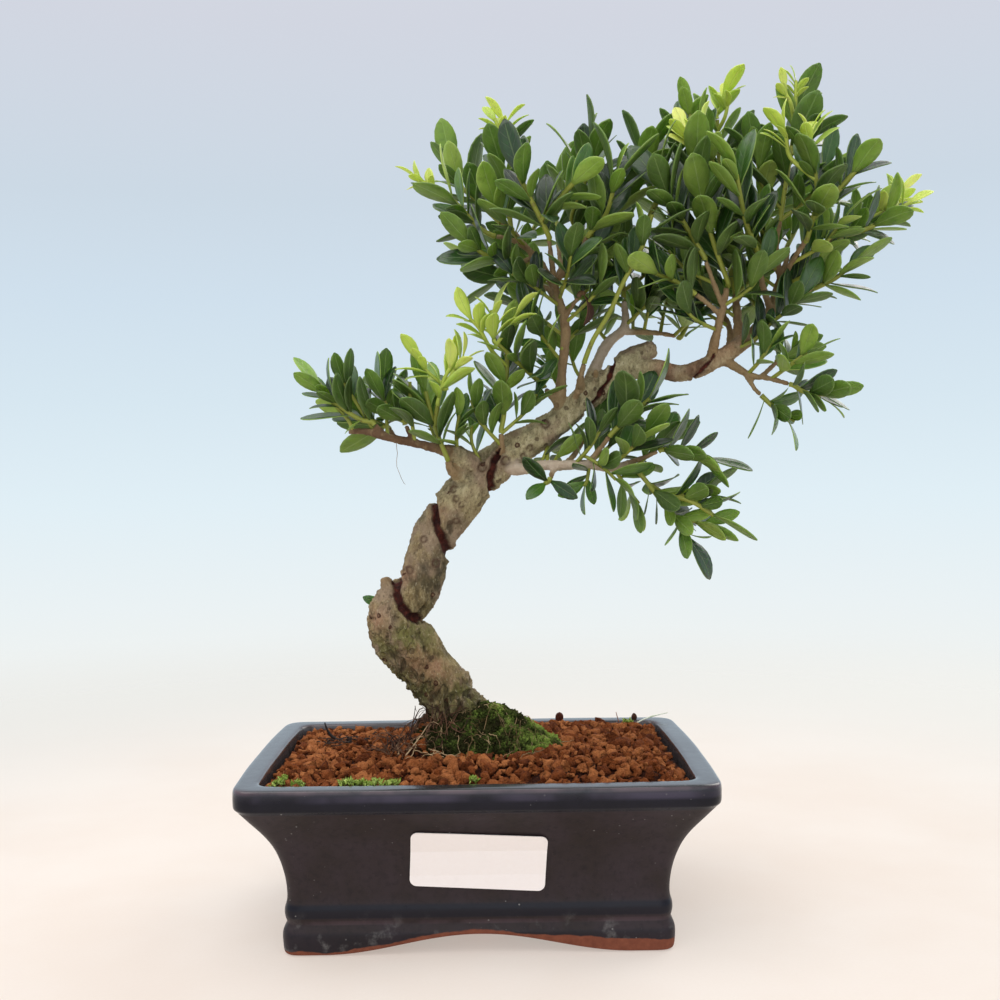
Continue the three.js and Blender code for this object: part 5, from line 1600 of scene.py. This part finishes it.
# The fine soil between the granules, down to the frame's soil
def bedPoint(u, v, isTop):
    x, y = u * soil["reachX"], v * soil["reachY"]
    overX, overY = abs(x) - soil["reachX"] + soil["corner"], abs(y) - soil["reachY"] + soil["corner"]
    if overX > 0 and overY > 0 and math.hypot(overX, overY) > soil["corner"]:
        pull = soil["corner"] / math.hypot(overX, overY)
        x = math.copysign(soil["reachX"] - soil["corner"] + overX * pull, x)
        y = math.copysign(soil["reachY"] - soil["corner"] + overY * pull, y)
    grain = 0.7 * noise.noise(Vector((x, y, 0)) * 0.7) + 0.5 * noise.noise(Vector((x, y, 3)) * 1.9)
    return x, y, bedTop(x, y) - 1.7 + grain if isTop else 49.5


def makeClay(name, dark, middle, light):
    add, place = startMaterial(name, specular=0.15)
    shifted = add.plus(add.times(add.stored("tone"), 0.5),
                       add.times(add.noise(place, 480.0, 8.0, 0.8), 0.7))
    colour = add.ramp(shifted, (0.24, dark), (0.52, middle), (0.9, light))
    colour = add.over(colour, dark, add.patch(place, 760.0, 0.55, 0.75), 0.75)
    colour = add.over(colour, "b9794b", add.speck(place, 1100.0, 0.3), 0.25)
    grains = add.node("TexVoronoi", {"Vector": place, "Scale": 1300.0}).outputs["Distance"]
    relief = add.plus(add.noise(place, 620.0, 6.0, 0.75), add.times(grains, -0.4))
    return add.finish(colour, add.uneven(place, 400.0, 0.85, 0.97), relief, 1.3, 1.0)


granules = handOver(makeGranules(), "clay_granules",
                    [makeClay("baked_clay", "3c170a", "82441f", "bd7645")])
bed = makeSheet((88, 62), bedPoint)
addValues(bed, "tone", 0.3)
handOver(bed, "loose_soil", [makeClay("loose_soil", "1b0c07", "3a1a0e", "5c3019")])
dressNode("soil", makeClay("soil_bed", "1c0d09", "331810", "4a2618"))
print("granules made,", len(granules.data.polygons), "faces")


# Moss: a wedge against the trunk, set with small upright tufts, and bright tufts of their own on the soil
moss = {
    "x": 3.8, "y": -3.0, "lengthX": 25.0, "lengthY": 15.0, "tufts": 9500, "seed": 311, "spread": 1.04,
    "step": 0.6, "lean": 1.2, "small": 0.5, "sizeSpan": 0.7, "sunk": 0.45,
    "ridge": ((-21, -16, -10, -2, 3, 8, 12.5, 15, 19, 24, 29),
              (59, 64.5, 67, 69, 71, 70.8, 67.5, 65.5, 63.5, 60.5, 57)),
    "patches": readPath("-40 -43.3 2.6, -35.5 -43.6 2.2, -31 -43.2 2.6, -26 -43.6 2.2, -61.5 -42 2, "
                        "-55.5 -43.2 2, -61 -36.5 1.6, -1.3 -43.4 1.4, 55.5 38.5 1.6"),
}


def mossHeight(x, y):
    across = 1 - ((x - moss["x"]) / moss["lengthX"]) ** 2
    foot = bedTop(x, y) - 1.0
    share = 1 - abs(y - moss["y"]) / (moss["lengthY"] * math.sqrt(across)) if across > 0 else 0
    if share <= 0:
        return foot
    bump = 1.4 * noise.noise(Vector((x, y, 0)) * 0.2) + 1.5 * noise.noise(Vector((x, y, 4)) * 0.45)
    peak = float(np.interp(x, *moss["ridge"]))
    return foot + max(0.5, peak - foot) * min(1.0, share * 1.2) ** 0.85 + bump * min(1, share * 4)


# The square's points go onto the cushion's oval
def moundPoint(u, v, isTop):
    x = moss["x"] + u * math.sqrt(1 - v * v / 2) * moss["lengthX"] * 0.985
    y = moss["y"] + v * math.sqrt(1 - u * u / 2) * moss["lengthY"] * 0.985
    top = mossHeight(x, y) - 0.5
    return x, y, top if isTop else min(top - 0.3, soilHeight(x, y) - 1.6)


def turnFrom(co, angle):
    return abs((math.atan2(co.x, co.y) - angle + math.pi) % math.tau - math.pi)


# One tuft: a low cone pulled into a star of leaflets
def modelTuft(kind):
    deselectAll()
    bpy.ops.mesh.primitive_cone_add(vertices=6, radius1=0.5, radius2=0.0, depth=1.0, location=(0, 0, 0.35))
    piece = bakePlace(bpy.context.object)
    editMode(piece)
    reach = [0.72, 0.2, 0.8, 0.18, 0.7, 0.22] if kind == 0 else [0.2, 0.84, 0.2, 0.66, 0.2, 0.8]
    for step, radius in enumerate(reach):
        angle = step * math.pi / 3
        pickPoints(piece, lambda co: co.z < 0 and turnFrom(co, angle) < 0.3)
        bpy.ops.transform.resize(value=(radius / 0.5, radius / 0.5, 1), center_override=(0, 0, 0))
        bpy.ops.transform.translate(value=(0, 0, 0.5 if radius > 0.5 else -0.15))
    objectMode()
    smoothShade(piece, 30)
    return piece


def makeMoss():
    mound = makeSheet((44, 30), moundPoint)
    addValues(mound, "tone", 0.0)
    models = [modelTuft(0), modelTuft(1)]
    draw = makeRandom(moss["seed"])
    places = []
    while len(places) < moss["tufts"]:
        angle, away = draw() * math.tau, math.sqrt(draw()) * moss["spread"]
        x = moss["x"] + math.cos(angle) * away * moss["lengthX"]
        y = moss["y"] + math.sin(angle) * away * moss["lengthY"]
        z = mossHeight(x, y)
        step = moss["step"]
        slopeX = (mossHeight(x + step, y) - mossHeight(x - step, y)) / (2 * step)
        slopeY = (mossHeight(x, y + step) - mossHeight(x, y - step)) / (2 * step)
        leanX, leanY = (draw() - 0.5) * moss["lean"], (draw() - 0.5) * moss["lean"]
        upward = Vector((leanX - slopeX, leanY - slopeY, 1.0)).normalized()
        turn = upward.to_track_quat("Z", "Y").to_matrix() @ spin("Z", draw() * 6.28)
        size = moss["small"] + moss["sizeSpan"] * draw() ** 1.5
        tall = size * (0.9 + 0.8 * draw())
        matrix = np.array(turn) @ np.diag([size, size, tall]) * mm
        light = noise.noise(Vector((x, y, z)) * 0.24) * 1.1 + 0.3 + 0.024 * (x - 6)
        place = worldPoints([(x, y, z - moss["sunk"])])[0]
        places.append((int(draw() * 2), np.column_stack([matrix, place]),
                       min(1.0, max(0.0, light + (draw() - 0.5) * 0.4))))
    tufts = scatterCopies("moss_tufts", models, places)
    places = []
    for patchX, patchY, radius in moss["patches"]:
        for count in range(int(radius ** 2 * 9)):
            angle, away = draw() * math.tau, math.sqrt(draw()) * radius
            x, y = patchX + math.cos(angle) * away, patchY + math.sin(angle) * away * 0.6
            if not insideBed(x, y, 0.5):
                continue
            crown = 0.9 * (1 - (away / radius) ** 2)
            turn = spin("X", (draw() - 0.5) * 1.8) @ spin("Y", (draw() - 0.5) * 1.8)
            size = 0.45 + 0.45 * draw()
            matrix = np.array(turn) @ np.diag([size * 0.7, size * 0.7, size * 2.6]) * mm
            place = worldPoints([(x, y, bedTop(x, y) + crown + 0.8 * draw() - 0.2)])[0]
            places.append((int(draw() * 2), np.column_stack([matrix, place]), 0.3 + 0.7 * draw()))
    sprigs = scatterCopies("bright_tufts", models, places)
    removePieces(models)
    return joinPieces([mound, tufts]), sprigs


def makeMossFinish(name, dark, middle, light):
    add, place = startMaterial(name, specular=0.15)
    shifted = add.plus(add.times(add.stored("tone"), 0.7),
                       add.times(add.noise(place, 300.0, 6.0, 0.7), 0.4))
    colour = add.ramp(shifted, (0.12, dark), (0.5, middle), (0.95, light))
    colour = add.over(colour, "75653c", add.speck(place, 480.0, 0.42), 0.55)
    return add.finish(colour, add.uneven(place, 500.0, 0.8, 0.95), add.noise(place, 1600.0, 5.0), 0.4, 0.9)


cushion, sprigs = makeMoss()
mossGreen = makeMossFinish("moss_green", "2a2011", "4d5a26", "93aa4c")
handOver(cushion, "moss_cushion", [mossGreen], ["moss"])
handOver(sprigs, "bright_moss", [makeMossFinish("moss_bright", "4c6420", "8ba640", "c6d978")])
print("moss made,", len(cushion.data.polygons), "faces")


# Dark debris beside the trunk, fine roots over the moss, a twig, a straw, a thin blade and two pebbles
bits = {
    "seed": 77,
    "tangles": {
        "fine_roots": {"count": 46, "at": (4.0, -9.0, 19.0, 7.0), "length": (5, 9),
                       "radius": (0.1, 0.14), "over": 1.0, "colours": ("6f5738", "b79c74")},
        "pale_roots": {"count": 9, "at": (-22.0, -9.0, 9.0, 5.0), "length": (8, 8),
                       "radius": (0.16, 0.16), "over": 3.5, "colours": ("8a6c4c", "c0a27c")},
        "dark_roots": {"count": 130, "at": (-20.0, -3.0, 12.0, 9.0), "length": (4, 8),
                       "radius": (0.1, 0.18), "over": 7.0, "colours": ("2e1b12", "6a4a35")},
        "left_debris": {"count": 34, "at": (-47.0, 17.0, 8.0, 5.0), "length": (4, 6),
                        "radius": (0.14, 0.2), "over": 0.8, "colours": ("15100e", "3a2a22")},
    },
    "twig": readPath("-55.4 20 61 0.22, -54.6 20 58.6 0.4, -53.2 20 56.3 0.55, -50.5 19.5 54.8 0.5, "
                     "-46 18 54.3 0.3"),
    "straw": readPath("53.5 43 53 0.2, 52.9 42 55.2 0.2, 52.2 41 57.4 0.18, 51.6 40 59.6 0.12"),
    "blade": readPath("57 42 53.5 0.16, 61 44 55.3 0.26, 66 46.5 56.6 0.28, 72.5 49.5 57.4 0.12"),
    "thread": readPath("-26 -11.2 162 0.1, -26 -12 158.8 0.1, -25.7 -12 156.7 0.09, -26.1 -12 153 0.08, "
                       "-25.4 -12 150.7 0.08, -24.1 -12 147.4 0.07, -23.2 -12 146.2 0.06"),
    "pebbles": readPath("30.2 40 57.9 1.5, 59.5 49.5 55.9 1.1"),
}


def wander(draw, start, heading, length, over, radius):
    x, y = start
    path = []
    steps = 8
    rise = over * draw() ** 2
    for step in range(steps + 1):
        z = max(mossHeight(x, y), bedTop(x, y)) + 0.1 + rise * math.sin(2.3 * step / steps) + 0.5 * draw()
        path.append((x, y, z, radius * (1 - 0.6 * step / steps)))
        heading += (draw() - 0.5) * 1.3
        x += math.cos(heading) * length / steps
        y += math.sin(heading) * length / steps
    return smoothLine(path, steps * 2)


def makeTangle(settings, draw):
    x, y, halfX, halfY = settings["at"]
    shortest, span = settings["length"]
    thinnest, swell = settings["radius"]
    paths = []
    for count in range(settings["count"]):
        start = (x + (draw() - 0.5) * 2 * halfX, y + (draw() - 0.5) * 2 * halfY)
        paths.append(wander(draw, start, draw() * math.tau, shortest + span * draw(), settings["over"],
                            thinnest + swell * draw()))
    return tubesAlong(paths, 0)


def makeFibre(name, dark, light):
    add, place = startMaterial(name, specular=0.25)
    colour = add.mix(add.patch(place, 150.0, 0.35, 0.65), dark, light)
    return add.finish(colour, add.uneven(place, 300.0, 0.6, 0.85), add.noise(place, 1500.0), 0.08)


def makePebble(place, size):
    deselectAll()
    bpy.ops.mesh.primitive_ico_sphere_add(subdivisions=3, radius=1, location=(0, 0, 0))
    piece = bpy.context.object
    points = pointsOf(piece)
    for point in points:
        point *= 1 + 0.14 * noise.noise(Vector(point) * 1.3 + Vector(place))
    setPoints(piece, points * np.array([size, size, size * 1.35]) * mm + np.array(toWorld(*place)))
    smoothShade(piece)
    return piece


bitRandom = makeRandom(bits["seed"])
for name, settings in bits["tangles"].items():
    handOver(makeTangle(settings, bitRandom), name,
             [makeFibre(name + "_fibre", *settings["colours"])])
for name, slotName, colours in (("twig", "bark", ("1c1613", "3a2f2a")),
                                ("straw", "bark", ("7c4636", "b5806a")),
                                ("thread", "bark", ("6a5648", "a8937e")),
                                ("blade", "moss", ("b4c29a", "e6ead6"))):
    piece = tubesAlong([smoothLine(bits[name], 9)])
    handOver(piece, "loose_" + name, [makeFibre(name + "_fibre", *colours)])
for index, (x, y, z, size) in enumerate(bits["pebbles"]):
    pebble = makePebble((x, y, z), size)
    addValues(pebble, "tone", 0.5)
    colours = ("2c120c", "4f2417", "6d3a28") if index == 0 else ("2a1712", "4a2d22", "6b4735")
    handOver(pebble, "pebble_" + str(index), [makeClay("pebble_stone_" + str(index), *colours)])
print("roots and loose bits made")


# Plain round floor that fades into the sky far off
floor = {"radius": 1.2, "fadeFrom": 0.22, "fadeTo": 0.85}


def makeFloor():
    deselectAll()
    bpy.ops.mesh.primitive_circle_add(vertices=96, radius=floor["radius"], fill_type="NGON",
                                      location=bowlCentre)
    piece = bakePlace(bpy.context.object)
    piece.name = "floor"
    return piece


def makeFloorFinish():
    # Painted light: the floor glows with its own colour at strength 0.5 over a base darkened by about half,
    # which lightens the shadows cast on it
    add, place = startMaterial("floor", roughness=0.85, specular=0.15, glow=0.5)
    away = add.distance(place, tuple(bowlCentre))
    near = add.mix(add.patch(place, 9.0, 0.3, 0.7), "f1e4d9", "f5ebe2")
    near = add.over(near, "d8c4b2", add.noise(place, 900.0, 3.0), 0.12)
    colour = add.mix(add.ease(away, 0.12, 0.5), near, "e2e0db")
    add.link(colour, add.shader.inputs["Emission Color"])
    add.link(add.ease(away, floor["fadeTo"], floor["fadeFrom"]), add.shader.inputs["Alpha"])
    return add.finish(add.mix(0.53, colour, "000000"))


floorPiece = makeFloor()
floorPiece.data.materials.append(makeFloorFinish())
